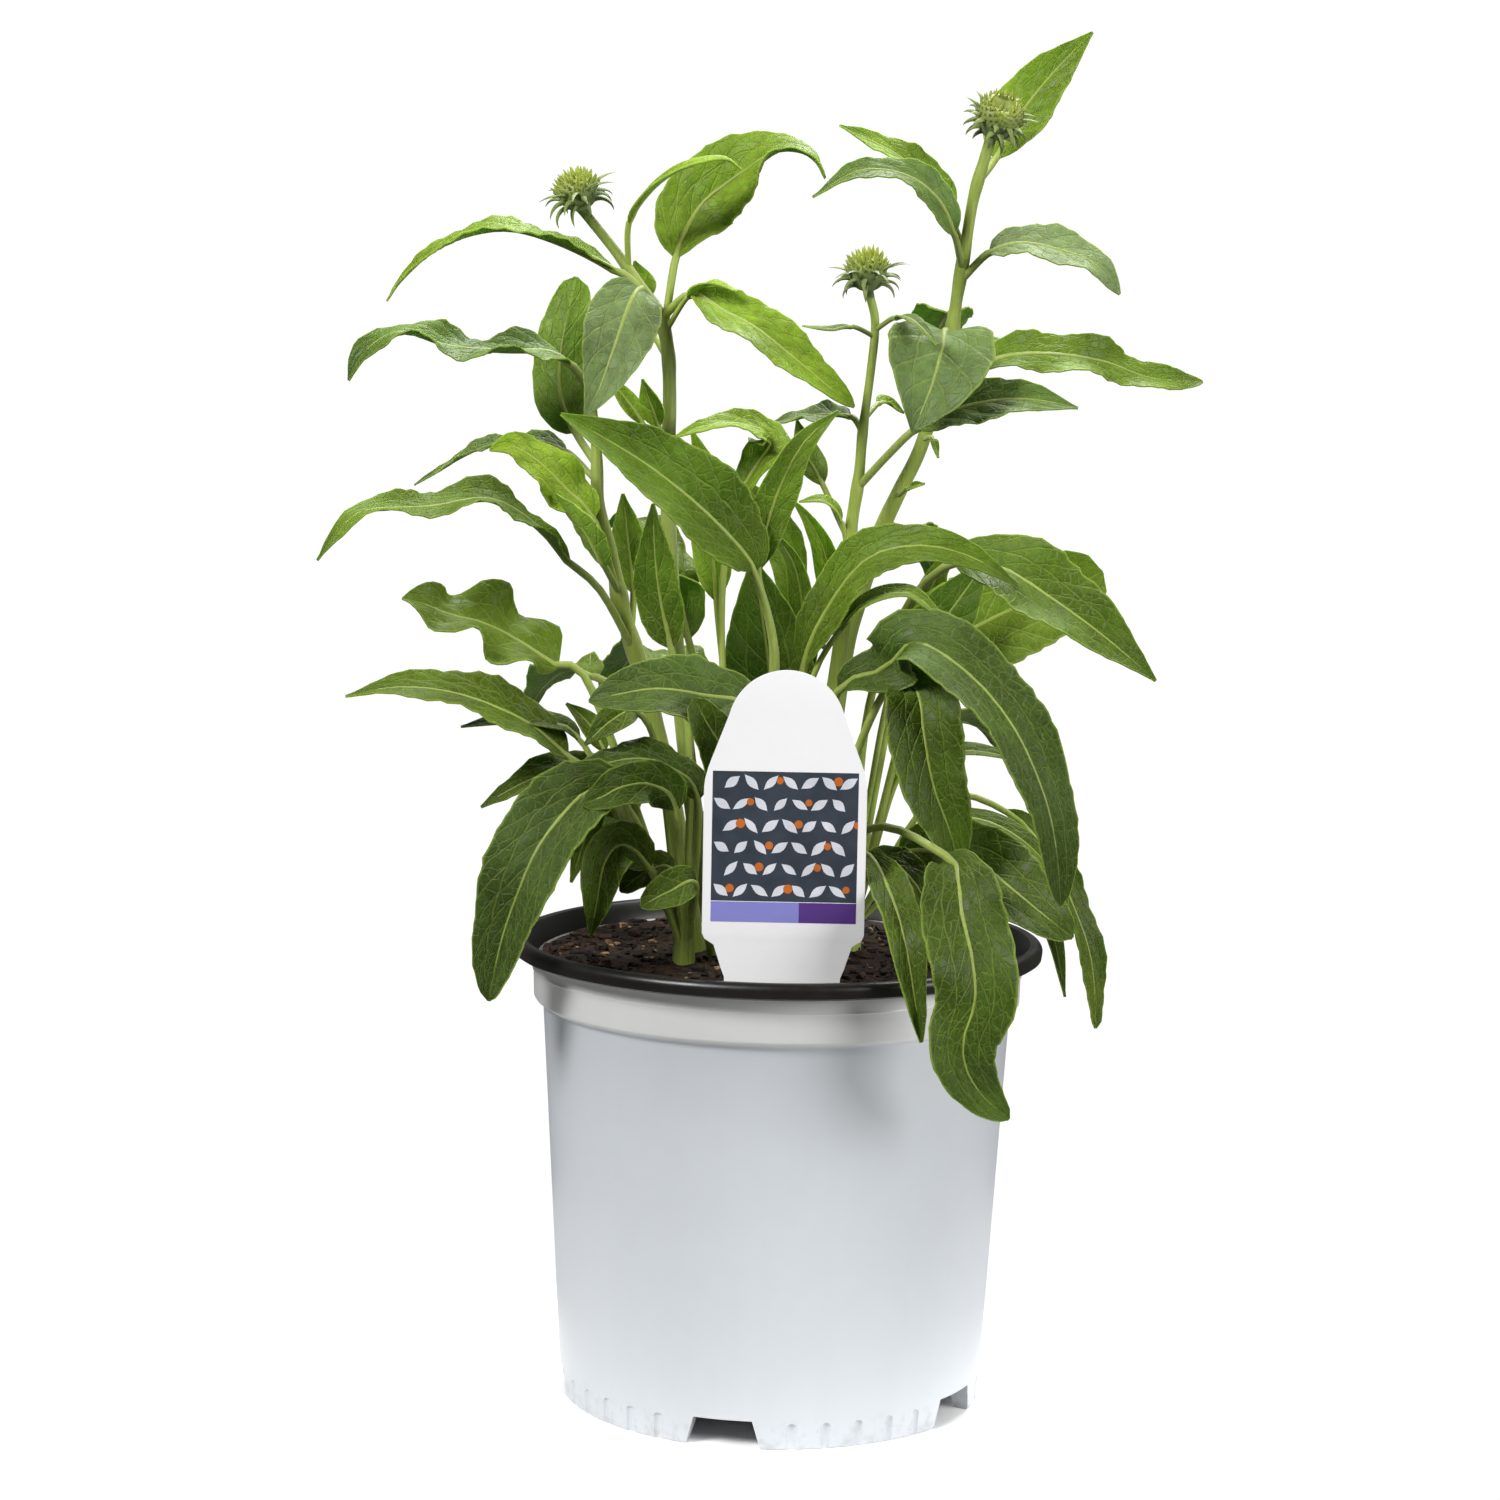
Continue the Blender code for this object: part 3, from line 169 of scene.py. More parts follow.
STEMS = {
    "left_stem": Stem(3.0, 1.5, [
        (-19, -13, 142), (-27, -13, 188), (-33, -12, 237), (-36, -10, 280), (-36, -8, 310),
        (-37, -6, 326), (-40, -5, 336), (-45, -5, 343), (-53, -4, 354), (-63, -4, 366),
    ], [
        Leaf("upper_leaf", 26, 331, 1, (-3, -10, 1), 1, 55,
             [(-35, -3, 353), (-32, 2, 362), (-27, 5, 370), (-21, 4, 375), (-14, 1, 380),
              (-6, -4, 385), (2, -9, 385), (7, -12, 382), (10, -14, 377)], end_face=(0, 5, 9)),
        Leaf("upper_arching_leaf", 9, 349, 1, (0, -3, 10), 0, 75,
             [(-49, -10, 363), (-43, -14, 372), (-35, -17, 378), (-27, -18, 381), (-20, -17, 382),
              (-15, -15, 379)]),
        Leaf("left_arching_leaf", 17, 342, 1, (0, -2, 10), 1, 50,
             [(-53, -10, 349), (-71, -14, 357), (-87, -18, 360), (-104, -20, 355), (-116, -20, 345),
              (-121, -20, 338)]),
        Leaf("front_hanging_leaf", 22, 339, 1, (1, -10, 4), 1, -45,
             [(-45, -16, 343), (-48, -24, 338), (-52, -33, 325), (-56, -36, 313), (-60, -37, 305)]),
        Leaf("right_falling_leaf", 17, 334, 1, (3, -8, 6), 1, 60,
             [(-30, -9, 342), (-20, -14, 337), (-10, -18, 332), (2, -21, 323), (12, -22, 315),
              (20, -22, 309)], fold=0.3, blunt=0.5),
        Leaf("small_right_leaf", 7, 330, 1, (0, -2, 10), 0, 100,
             [(-31, -9, 341), (-24, -14, 345), (-16, -17, 343)]),
        Leaf("small_upright_leaf", 8, 334, 1, (0, -10, 3), 0, 100,
             [(-43, 4, 341), (-46, 7, 346), (-48, 9, 352)]),
        Leaf("axil_leaf_left", 6, 289, 1, (3, -10, 3), 0, 70,
             [(-44, -12, 303), (-49, -13, 310), (-55, -14, 317)]),
        Leaf("axil_leaf_right", 7, 292, 1, (-3, -10, 3), 0, 65,
             [(-39, -15, 302), (-42, -17, 310), (-44, -18, 316)]),
        Leaf("back_leaf_high", 17, 322, 1, (0, 4, 10), 1, 40,
             [(-43, 8, 331), (-49, 26, 331), (-55, 44, 324), (-59, 56, 314)]),
    ]),
    "outer_left_stem": Stem(3.0, 1.6, [
        (-25, -1, 143), (-35, -1, 193), (-43, 0, 223), (-50, 2, 245), (-54, 4, 263),
        (-58, 6, 278), (-59, 8, 294), (-61, 10, 309), (-62, 10, 319),
    ], [
        Leaf("left_wavy_leaf", 18, 312, 1, (0, -4, 10), 3, -10,
             [(-67, 6, 320), (-74, 2, 324), (-88, -4, 324), (-103, -8, 325), (-118, -12, 329),
              (-128, -14, 323), (-133, -15, 314)], blunt=0.4),
        Leaf("upright_leaf", 19, 289, 1, (2, 10, 2), 1, 30,
             [(-66, 16, 299), (-71, 21, 310), (-71, 25, 326), (-67, 27, 347)], blunt=0.9),
        Leaf("long_left_leaf", 16, 231, 2, (1, -5, 10), 2, 30,
             [(-56, -8, 251), (-65, -14, 260), (-74, -22, 271), (-88, -32, 280), (-105, -44, 278),
              (-123, -58, 277), (-130, -65, 270), (-135, -68, 263)]),
        Leaf("pale_leaf", 12, 284, 1, (0, -3, 10), 1, -30,
             [(-69, 16, 293), (-81, 22, 296), (-97, 28, 293), (-118, 32, 281)]),
        Leaf("bright_leaf", 16, 248, 1, (0, -8, 6), 2, 100,
             [(-59, -4, 273), (-67, -7, 282), (-75, -10, 290), (-83, -14, 295),
              (-90, -16, 294)], blunt=0.4),
        Leaf("pale_inner_leaf", 11, 250, 1, (5, 6, 5), 0, 60,
             [(-55, -10, 259), (-61, -13, 270), (-70, -12, 281)]),
        Leaf("inner_leaf", 12, 236, 1, (0, -10, 0), 1, 55,
             [(-47, 10, 250), (-49, 14, 264), (-51, 18, 280)]),
        Leaf("back_leaf_low", 19, 216, 1, (-4, 5, 10), 2, 40,
             [(-59, 20, 222), (-69, 38, 223), (-79, 54, 214), (-85, 62, 202)]),
    ]),
    "centre_stem": Stem(3.0, 1.3, [
        (6, 2, 144), (11, 0, 187), (16, -2, 222), (19, -4, 250), (20, -6, 271),
        (22, -7, 287), (23, -7, 302), (25, -7, 320), (26, -7, 334), (24, -8, 343),
    ], [
        Leaf("thread_leaf", 4, 330, 1, (0, -3, 10), 0, -50,
             [(19, -11, 333), (12, -14, 332), (4, -18, 333)]),
        Leaf("small_arching_leaf", 5, 332, 1, (0, -3, 10), 0, -20,
             [(32, -14, 336), (37, -25, 335), (44, -34, 328)]),
        Leaf("long_petiole_leaf", 17, 284, 2, (0, -8, 7), 1, -15,
             [(31, -14, 295), (39, -18, 303), (50, -20, 309), (64, -22, 312), (75, -22, 312),
              (87, -22, 310)]),
        Leaf("grey_leaf", 11, 301, 1, (1, -6, 10), 1, -60,
             [(19, -4, 306), (9, 2, 306), (2, 6, 305), (-5, 9, 303)]),
        Leaf("inner_left_leaf", 9, 267, 1, (2, -10, 3), 0, 50,
             [(11, 0, 285), (6, 4, 294), (3, 8, 304)]),
        Leaf("short_leaf", 6, 305, 1, (-2, -8, 8), 0, 50,
             [(28, 2, 310), (31, 6, 310), (36, 10, 307)]),
        Leaf("low_leaf", 7, 262, 1, (0, -4, 10), 0, 50,
             [(17, -8, 274), (12, -10, 280), (4, -12, 280)]),
    ]),
    "right_stem": Stem(3.4, 1.7, [
        (13, 12, 142), (15, 10, 198), (19, 8, 233), (23, 8, 249), (26, 8, 261), (31, 7, 274),
        (35, 6, 283), (42, 5, 299), (49, 2, 329), (51, 0, 343), (53, -2, 358), (55, -3, 372),
        (58, -4, 384), (60, -4, 391),
    ], [
        Leaf("top_leaf", 19, 377, 1, (-3, -10, 3), 1, 50,
             [(62, 8, 385), (69, 14, 398), (79, 16, 411), (91, 14, 424)]),
        Leaf("upper_left_leaf", 14, 356, 1, (-3, -6, 8), 1, 45,
             [(48, 0, 367), (42, -2, 377), (31, -6, 385), (14, -10, 393)]),
        Leaf("second_left_leaf", 12, 351, 1, (-2, -7, 8), 1, -20,
             [(49, -14, 361), (44, -18, 371), (34, -21, 378), (20, -23, 379), (6, -23, 371)]),
        Leaf("upper_right_leaf", 16, 347, 1, (0, -7, 8), 1, -60,
             [(60, -6, 356), (69, -10, 359), (81, -14, 357), (91, -16, 353),
              (99, -17, 344)], blunt=0.3),
        Leaf("broad_hanging_leaf", 32, 330, 1, (0, -10, 4), 1, -30,
             [(47, -12, 332), (46, -22, 328), (43, -29, 317), (40, -32, 309),
              (37, -33, 302)], fold=0.3),
        Leaf("long_right_leaf", 15, 317, 1, (0, -9, 6), 2, 35,
             [(57, -2, 321), (66, 0, 325), (80, 6, 326), (97, 14, 324), (113, 25, 319),
              (131, 36, 318)], blunt=0.6, phase=4.4),
        Leaf("small_right_leaf", 5, 326, 1, (0, -3, 10), 0, 40,
             [(59, 7, 330), (66, 6, 328), (76, 5, 321)]),
        Leaf("curled_leaf", 3, 299, 1, (5, -5, 5), 0, 60,
             [(44, -9, 300), (45, -12, 297), (46, -13, 294)]),
        Leaf("bud_leaf", 4, 281, 1, (-3, -5, 8), 0, 60,
             [(37, -3, 284), (39, -6, 285), (42, -8, 286)]),
        Leaf("back_leaf_high", 19, 334, 1, (0, 4, 10), 1, 40,
             [(50, 18, 338), (48, 38, 336), (45, 56, 325), (43, 64, 313)]),
        Leaf("back_leaf_mid", 20, 258, 1, (3, 4, 10), 2, 35,
             [(32, 24, 268), (40, 42, 268), (48, 60, 256), (51, 68, 244)]),
    ]),
}

# bunches of leaves that rise from the soil on their own stalks, set a little apart round a short
# crown, whose path is no more than its foot and its top
CROWN_PATH_POINTS = 2
CROWN_TOP = 156
CROWN_SPREAD = 2.6
CROWNS = {
    "left_leaves": Stem(6.0, 4.2, [(-28, -24, 142), (-28, -24, CROWN_TOP)], [
        Leaf("wavy_leaf", 27, 150, 2, (0, -6, 8), 5, 50,
             [(-58, -19, 222), (-68, -21, 229), (-77, -23, 235), (-85, -26, 240), (-92, -28, 243),
              (-100, -31, 245), (-107, -33, 248), (-114, -35, 250)], blunt=0.5, phase=4.6),
        Leaf("long_flat_leaf", 21, 150, 2, (0, -5, 9), 1, 45,
             [(-45, -26, 185), (-64, -32, 203), (-77, -36, 214), (-96, -40, 222), (-114, -42, 224),
              (-130, -42, 221)]),
        Leaf("pale_small_leaf", 9, 151, 2, (0, -5, 9), 0, -30,
             [(-46, -29, 182), (-61, -28, 208), (-70, -30, 213), (-82, -34, 214), (-96, -37, 212)]),
        Leaf("side_leaf", 8, 150, 2, (3, -8, 6), 0, 60,
             [(-44, -24, 182), (-54, -16, 203), (-59, -14, 211), (-66, -12, 217)]),
        Leaf("oval_left_leaf", 13, 149, 1, (-1, -7, 8), 1, 30,
             [(-54, -14, 193), (-67, -18, 197), (-79, -22, 193), (-91, -24, 186)]),
        Leaf("bright_low_leaf", 11, 148, 1, (-3, -6, 8), 1, 75,
             [(-54, 0, 187), (-65, 0, 190), (-74, -1, 185), (-80, -2, 175)]),
        Leaf("bright_hanging_leaf", 10, 148, 1, (-2, -10, 2), 0, 85,
             [(-51, 4, 180), (-58, 6, 183), (-61, 5, 172), (-65, 3, 159)]),
        Leaf("over_rim_leaf", 26, 149, 1, (-4, -9, 2), 1, -12,
             [(-49, -38, 191), (-57, -44, 194), (-65, -49, 187), (-72, -52, 177), (-77, -53, 165),
              (-82, -51, 150), (-86, -49, 131)], fold=0.35, blunt=0.6),
        Leaf("dark_oval_leaf", 14, 152, 1, (0, -9, 4), 1, 5,
             [(-31, -38, 188), (-38, -42, 196), (-47, -47, 196), (-53, -49, 193),
              (-59, -50, 191)], blunt=0.7),
        Leaf("dark_broad_leaf", 15, 153, 1, (0, -6, 9), 1, 5,
             [(-25, -28, 190), (-33, -31, 200), (-42, -34, 203), (-51, -36, 202),
              (-61, -36, 199)], blunt=0.7),
        Leaf("low_pointed_leaf", 14, 146, 1, (1, -10, 2), 1, 30,
             [(-39, -36, 170), (-47, -42, 178), (-52, -46, 173), (-54, -46, 162),
              (-56, -43, 150)], fold=0.4),
        Leaf("soil_leaf_front", 12, 147, 1, (0, -9, 5), 0, 15,
             [(-25, -38, 166), (-33, -43, 164), (-41, -46, 160)], blunt=0.7),
        Leaf("soil_leaf_back", 11, 147, 1, (0, -7, 7), 0, 30,
             [(-32, -28, 168), (-40, -30, 168), (-48, -31, 162)], blunt=0.7),
        Leaf("small_folded_leaf", 10, 152, 2, (0, -8, 6), 0, 30,
             [(-37, -24, 201), (-43, -28, 216), (-50, -33, 215), (-59, -35, 207)]),
        Leaf("dark_upright_leaf", 15, 153, 2, (-3, -10, 0), 1, 20,
             [(-28, -18, 207), (-34, -19, 235), (-37, -21, 248), (-39, -23, 262), (-40, -25, 279)]),
    ]),
    "front_leaves": Stem(6.0, 4.2, [(-11, -32, 142), (-11, -32, CROWN_TOP)], [
        Leaf("big_front_leaf", 26, 152, 3, (2, -9, 5), 1, 15,
             [(-9, -31, 194), (-2, -33, 230), (-9, -37, 260), (-15, -41, 269), (-26, -46, 280),
              (-40, -50, 291), (-53, -53, 299), (-66, -54, 306)], fold=0.45),
        Leaf("front_upright_leaf", 12, 152, 3, (3, -10, 2), 1, 30,
             [(-7, -29, 193), (-3, -30, 233), (-8, -33, 260), (-5, -36, 276), (1, -39, 292),
              (7, -40, 301), (15, -40, 308)]),
        Leaf("grey_front_leaf", 22, 150, 2, (0, -8, 6), 1, -12,
             [(-10, -40, 192), (-9, -44, 219), (-23, -49, 224), (-37, -52, 226), (-49, -53, 224),
              (-57, -52, 222)], blunt=0.5),
        Leaf("tag_side_leaf", 15, 149, 1, (0, -10, 4), 0, 20,
             [(-13, -48, 193), (-17, -54, 208), (-22, -58, 217), (-26, -58, 224)], blunt=0.8),
        Leaf("bending_leaf", 17, 151, 2, (-4, -8, 5), 1, 30,
             [(4, -25, 196), (6, -28, 231), (14, -33, 251), (25, -38, 265), (40, -42, 269),
              (55, -44, 266), (69, -44, 258)]),
        Leaf("small_curved_leaf", 8, 151, 2, (0, -5, 9), 0, 35,
             [(7, -28, 221), (17, -34, 243), (25, -38, 252), (36, -41, 255), (43, -43, 251),
              (49, -44, 245)]),
        Leaf("arched_inner_leaf", 13, 153, 2, (0, -6, 9), 1, 75,
             [(-19, -12, 243), (-14, -10, 281), (-5, -10, 298), (-13, -14, 303), (-23, -19, 303),
              (-34, -24, 299)]),
    ]),
    "back_leaves": Stem(6.0, 4.2, [(-7, 14, 142), (-7, 14, CROWN_TOP)], [
        Leaf("yellow_leaf", 13, 152, 1, (0, -10, 1), 0, 85,
             [(-21, 6, 248), (-23, 8, 276), (-25, 10, 288), (-30, 12, 301)]),
        Leaf("veined_leaf", 28, 152, 1, (0, -10, 1), 1, 10,
             [(-2, 6, 206), (-4, 5, 225), (-6, 3, 239), (-8, 1, 251), (-10, -1, 262)]),
        Leaf("inner_arching_leaf", 12, 152, 2, (0, -6, 8), 1, 60,
             [(-2, 18, 216), (2, 20, 246), (0, 20, 264), (-8, 22, 278), (-18, 24, 286)]),
        Leaf("inner_small_leaf", 9, 151, 1, (-2, -8, 5), 0, 50,
             [(6, 10, 220), (6, 9, 242), (3, 8, 259), (-5, 8, 271)]),
        Leaf("yellow_inner_leaf", 9, 151, 2, (-3, -8, 5), 0, 95,
             [(12, 22, 197), (17, 26, 235), (13, 26, 260), (8, 26, 271), (2, 26, 279)]),
        Leaf("back_tall_leaf", 24, 150, 1, (2, 5, 10), 2, 35,
             [(-6, 44, 213), (-3, 60, 236), (5, 76, 240), (14, 90, 226)]),
        Leaf("back_left_leaf", 24, 150, 1, (-3, 5, 10), 2, 35,
             [(-26, 40, 207), (-37, 54, 225), (-51, 72, 223), (-61, 86, 204)]),
        Leaf("back_low_left_leaf", 21, 148, 1, (-4, 6, 9), 1, 30,
             [(-29, 48, 180), (-43, 60, 184), (-55, 76, 168), (-62, 84, 143)]),
        Leaf("back_low_leaf", 22, 148, 1, (0, 8, 8), 1, 30,
             [(-2, 50, 183), (3, 64, 191), (7, 81, 175), (9, 90, 148)]),
        Leaf("back_left_tall_leaf", 20, 151, 1, (-2, 4, 10), 2, 40,
             [(-30, 28, 234), (-37, 36, 258), (-47, 50, 270), (-61, 64, 266)]),
    ]),
    "right_leaves": Stem(6.0, 4.2, [(22, 3, 142), (22, 3, CROWN_TOP)], [
        Leaf("big_right_leaf", 26, 151, 3, (1, -8, 7), 1, 20,
             [(26, -6, 213), (37, -14, 248), (51, -22, 263), (65, -29, 262), (79, -34, 254),
              (95, -38, 243), (111, -40, 230)], fold=0.3),
        Leaf("serrated_leaf", 34, 152, 1, (-1, -10, 3), 1, 60,
             [(46, 12, 233), (57, 14, 239), (71, 17, 246), (87, 20, 252),
              (100, 22, 258)], blunt=0.9),
        Leaf("dark_right_leaf", 18, 152, 1, (0, -10, 2), 0, 10,
             [(43, 4, 232), (48, 3, 241), (54, 2, 250), (62, 1, 262)]),
        Leaf("bright_right_leaf", 9, 151, 1, (-2, -9, 4), 0, 85,
             [(38, 24, 232), (45, 27, 248), (49, 28, 257), (56, 28, 267)]),
        Leaf("flat_right_leaf", 9, 150, 1, (0, -4, 10), 0, 30,
             [(37, 6, 195), (48, 4, 201), (60, 2, 203), (79, -1, 200)]),
        Leaf("arched_right_leaf", 9, 149, 1, (0, -4, 9), 0, 45,
             [(45, -8, 181), (60, -14, 184), (73, -18, 179), (83, -21, 169), (90, -22, 152)]),
        Leaf("far_hanging_leaf", 12, 149, 2, (6, -8, 3), 1, 35,
             [(47, 2, 187), (70, -2, 185), (83, -6, 172), (91, -9, 157), (97, -11, 140),
              (99, -12, 119)], blunt=0.8),
        Leaf("small_hanging_leaf", 7, 148, 2, (6, -8, 2), 0, 50,
             [(49, 2, 169), (75, 0, 164), (85, -2, 148), (90, -3, 127)]),
        Leaf("back_right_leaf", 22, 149, 1, (4, 4, 10), 2, 35,
             [(38, 34, 196), (53, 44, 208), (71, 54, 201), (85, 58, 181)]),
        Leaf("back_right_tall_leaf", 20, 151, 1, (3, 4, 10), 1, 35,
             [(34, 34, 216), (44, 50, 234), (57, 66, 238), (70, 80, 225)]),
    ]),
    "front_right_leaves": Stem(6.0, 4.2, [(7, -25, 142), (7, -25, CROWN_TOP)], [
        Leaf("big_drooping_leaf", 23, 152, 2, (3, -8, 6), 1, -8,
             [(9, -27, 197), (17, -33, 225), (30, -41, 232), (39, -49, 241), (55, -56, 232),
              (68, -60, 217), (77, -62, 198), (81, -62, 182), (83, -60, 165)], fold=0.3, blunt=0.7),
        Leaf("hanging_leaf", 22, 151, 2, (0, -10, 3), 1, 20,
             [(21, -28, 200), (33, -38, 229), (40, -46, 226), (42, -51, 214), (45, -53, 199),
              (50, -53, 186), (53, -52, 176)], fold=0.45, blunt=0.7),
        Leaf("rim_leaf", 25, 149, 2, (0, -10, 2), 2, 15,
             [(26, -42, 184), (49, -60, 179), (52, -71, 174), (53, -78, 165), (56, -83, 153),
              (57, -86, 141), (54, -86, 130), (55, -85, 121), (60, -84, 113),
              (68, -83, 106)], fold=0.3, blunt=0.6),
        Leaf("narrow_rim_leaf", 12, 149, 2, (2, -10, 3), 1, 30,
             [(17, -44, 173), (26, -50, 178), (33, -66, 168), (37, -79, 156), (40, -83, 140),
              (42, -83, 128)], fold=0.45, blunt=0.3),
        Leaf("dark_low_leaf", 13, 148, 1, (0, -7, 7), 0, 10,
             [(24, -32, 170), (34, -40, 173), (41, -46, 168), (47, -50, 157)]),
        Leaf("low_right_leaf", 25, 148, 1, (3, -10, 3), 1, 20,
             [(36, -30, 175), (60, -39, 173), (66, -44, 170), (73, -49, 165), (80, -54, 160),
              (87, -57, 155)], blunt=0.7),
    ]),
}

# a bud: the stem under it, its core's radius and height in mm, the way it faces, how many bracts
# are in each ring and their reach in mm, whether its top is dented, and how many florets it has,
# with a floret's length and width in mm
Bud = namedtuple("Bud", "stem radius height face rings reach dent florets floret")

BUDS = {
    "left_head": Bud("left_stem", 6.0, 11, (-0.30, -0.25, 0.92), (9, 9, 7), 6.6, 0,
                     62, (4.2, 1.7)),
    "centre_head": Bud("centre_stem", 5.8, 11, (-0.10, -0.15, 0.98), (9, 9, 7), 6.6, 0,
                       62, (4.2, 1.7)),
    "right_head": Bud("right_stem", 7.2, 14, (0.25, -0.64, 0.73), (12, 13, 12), 4.6, 1,
                      120, (3.0, 1.1)),
}

# how far the bracts of each ring hang, and the ring's level on the core, from -1 up to 1. Then a
# bract's width, its taper from foot to tip, and the length of the neck under the core
BRACT_RINGS = ((0.35, 0.10), (0.75, -0.30), (1.05, -0.66))
BRACT_WIDTH = 0.0013
BRACT_TAPER = (0.8, 1.0, 1.0, 0.92, 0.80, 0.66, 0.50, 0.32, 0.10)
NECK = 0.0015


def colour_prop(name, description, default):
    return bpy.props.FloatVectorProperty(name=name, description=description, default=default,
                                         subtype="COLOR", size=3, min=0, max=1)


def length_prop(name, description, default):
    return bpy.props.FloatProperty(name=name, description=description, default=default,
                                   unit="LENGTH", min=0, precision=5)


def light_prop(name, description, default, unit="NONE"):
    return bpy.props.FloatProperty(name=name, description=description, default=default,
                                   unit=unit, min=0)


class PotLooks(bpy.types.PropertyGroup):
    rim_radius: length_prop("Rim radius", "Outer radius of the rolled rim", POT_HIGH[0])
    wall_colour: colour_prop("Wall", "The printed white of the tapering wall", (0.58, 0.61, 0.64))
    collar_colour: colour_prop("Collar", "The warmer white above the step", (0.70, 0.70, 0.69))
    rim_colour: colour_prop("Rim", "The dark plastic of the rim and the inside",
                            (0.008, 0.007, 0.006))


class SoilLooks(bpy.types.PropertyGroup):
    chips: bpy.props.IntProperty(name="Chips", description="Number of loose bark chips",
                                 default=1100, min=0, max=2000)
    dark_colour: colour_prop("Peat", "The damp dark peat", (0.012, 0.008, 0.006))
    brown_colour: colour_prop("Bark", "The brown bark", (0.050, 0.025, 0.013))
    pale_colour: colour_prop("Pale chip", "Dry tan chips", (0.30, 0.19, 0.10))


class LabelLooks(bpy.types.PropertyGroup):
    card_colour: colour_prop("Card", "The label's white plastic", (0.83, 0.83, 0.83))
    ground_colour: colour_prop("Picture ground", "The dark ground of the picture",
                               (0.035, 0.045, 0.060))
    petal_colour: colour_prop("Pale motif", "The picture's pale ovals", (0.62, 0.63, 0.68))
    dot_colour: colour_prop("Orange motif", "The picture's orange rounds", (0.50, 0.13, 0.02))
    light_strip: colour_prop("Light strip", "The left of the colour strip", (0.22, 0.22, 0.55))
    dark_strip: colour_prop("Dark strip", "The right of the colour strip", (0.085, 0.035, 0.20))


class PlantLooks(bpy.types.PropertyGroup):
    blade_thickness: length_prop("Blade thickness", "Thickness of a leaf's blade", 0.0005)
    # the mature colour also stands for painted shade on leaves in shade
    mature_colour: colour_prop("Mature leaf", "Upper side of an old leaf", (0.062, 0.120, 0.008))
    young_colour: colour_prop("Young leaf", "Upper side of a young leaf", (0.215, 0.330, 0.016))
    # the hoary colour is partly the grey of hairs and partly a painted sheen
    hoary_sheen_colour: colour_prop("Hoary leaf", "Upper side of a leaf greyed by its hairs",
                              (0.200, 0.250, 0.130))
    underside_colour: colour_prop("Underside", "Lower side of a leaf", (0.180, 0.270, 0.045))
    vein_colour: colour_prop("Veins", "The pale midrib and net", (0.340, 0.430, 0.080))
    stalk_colour: colour_prop("Stalk", "Young leaf stalks", (0.310, 0.410, 0.035))
    stem_colour: colour_prop("Stem", "Old flower stems", (0.170, 0.220, 0.035))
    bract_colour: colour_prop("Bracts", "The bud's green bracts", (0.120, 0.175, 0.040))
    floret_colour: colour_prop("Florets", "The bud's yellow-green middle", (0.360, 0.420, 0.030))


class StudioLooks(bpy.types.PropertyGroup):
    floor_colour: colour_prop("Floor", "The pale floor", (0.92, 0.92, 0.92))
    key_power: light_prop("Key light", "Power of the main soft light", 42, "POWER")
    fill_power: light_prop("Fill light", "Power of the fill light", 25, "POWER")
    back_power: light_prop("Back light", "Power of the light behind", 50, "POWER")
    surround: light_prop("Surround", "Light from the white surround", 0.08)
    floor_radius: length_prop("Floor radius", "Radius of the patch of floor", 0.26)
    floor_glow: light_prop("Floor glow", "How far the floor is lit from beneath", 0.30)


def deselect():
    if bpy.context.object and bpy.context.object.mode != "OBJECT":
        bpy.ops.object.mode_set(mode="OBJECT")
    bpy.ops.object.select_all(action="DESELECT")


def pick(*objects):
    """Select these objects alone, the first of them active."""
    deselect()
    for obj in objects:
        obj.select_set(True)
    bpy.context.view_layer.objects.active = objects[0]


def add(primitive, **settings):
    """What an adding operator makes, with nothing else selected."""
    deselect()
    primitive(**settings)
    return bpy.context.object


@contextmanager
def editing(obj):
    """Edit mode on an object alone, with all of its mesh selected."""
    pick(obj)
    bpy.ops.object.mode_set(mode="EDIT")
    bpy.ops.mesh.select_all(action="SELECT")
    yield
    bpy.ops.object.mode_set(mode="OBJECT")


def settle(obj):
    """Leave the object at the origin, unturned and unscaled, with its place in its mesh."""
    pick(obj)
    bpy.ops.object.transform_apply(location=True, rotation=True, scale=True)


def join(name, objects):
    """One object from several, the first of them active."""
    pick(*objects)
    if len(objects) > 1:
        bpy.ops.object.join()
    return rename(bpy.context.object, name)


def rename(obj, name):
    obj.name = obj.data.name = name
    return obj


def copy_of(model):
    """A copy with its own mesh."""
    obj = bpy.data.objects.new(model.name, model.data.copy())
    bpy.context.scene.collection.objects.link(obj)
    return obj


def weld(obj):
    """Merge doubles and turn every face outwards."""
    with editing(obj):
        bpy.ops.mesh.remove_doubles(threshold=TOUCHING)
        bpy.ops.mesh.normals_make_consistent(inside=False)


def smooth(obj, angle):
    pick(obj)
    bpy.ops.object.shade_smooth_by_angle(angle=math.radians(angle))


def coat(obj, *materials):
    obj.data.materials.clear()
    for material in materials:
        obj.data.materials.append(material)


def dress(obj, slot, *nodes):
    """Let a finished piece ride with the part and stand for its solids."""
    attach(obj, "root")
    if nodes:
        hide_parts(*nodes)


def paint(obj, name, values):
    """Keep a number for each point of the mesh, for its material to read."""
    layer = obj.data.attributes.new(name, "FLOAT", "POINT")
    if np.ndim(values) == 0:
        values = np.full(len(obj.data.vertices), float(values))
    layer.data.foreach_set("value", np.asarray(values, dtype=np.float32))


def points_of(obj):
    flat = np.empty(3 * len(obj.data.vertices))
    obj.data.vertices.foreach_get("co", flat)
    return flat.reshape(-1, 3)


def place_points(obj, points):
    obj.data.vertices.foreach_set("co", np.asarray(points).ravel())
    obj.data.update()


def apply_modifier(obj, kind, **settings):
    pick(obj)
    bpy.ops.object.modifier_add(type=kind)
    modifier = obj.modifiers[-1]
    for name, value in settings.items():
        setattr(modifier, name, value)
    bpy.ops.object.modifier_apply(modifier=modifier.name)


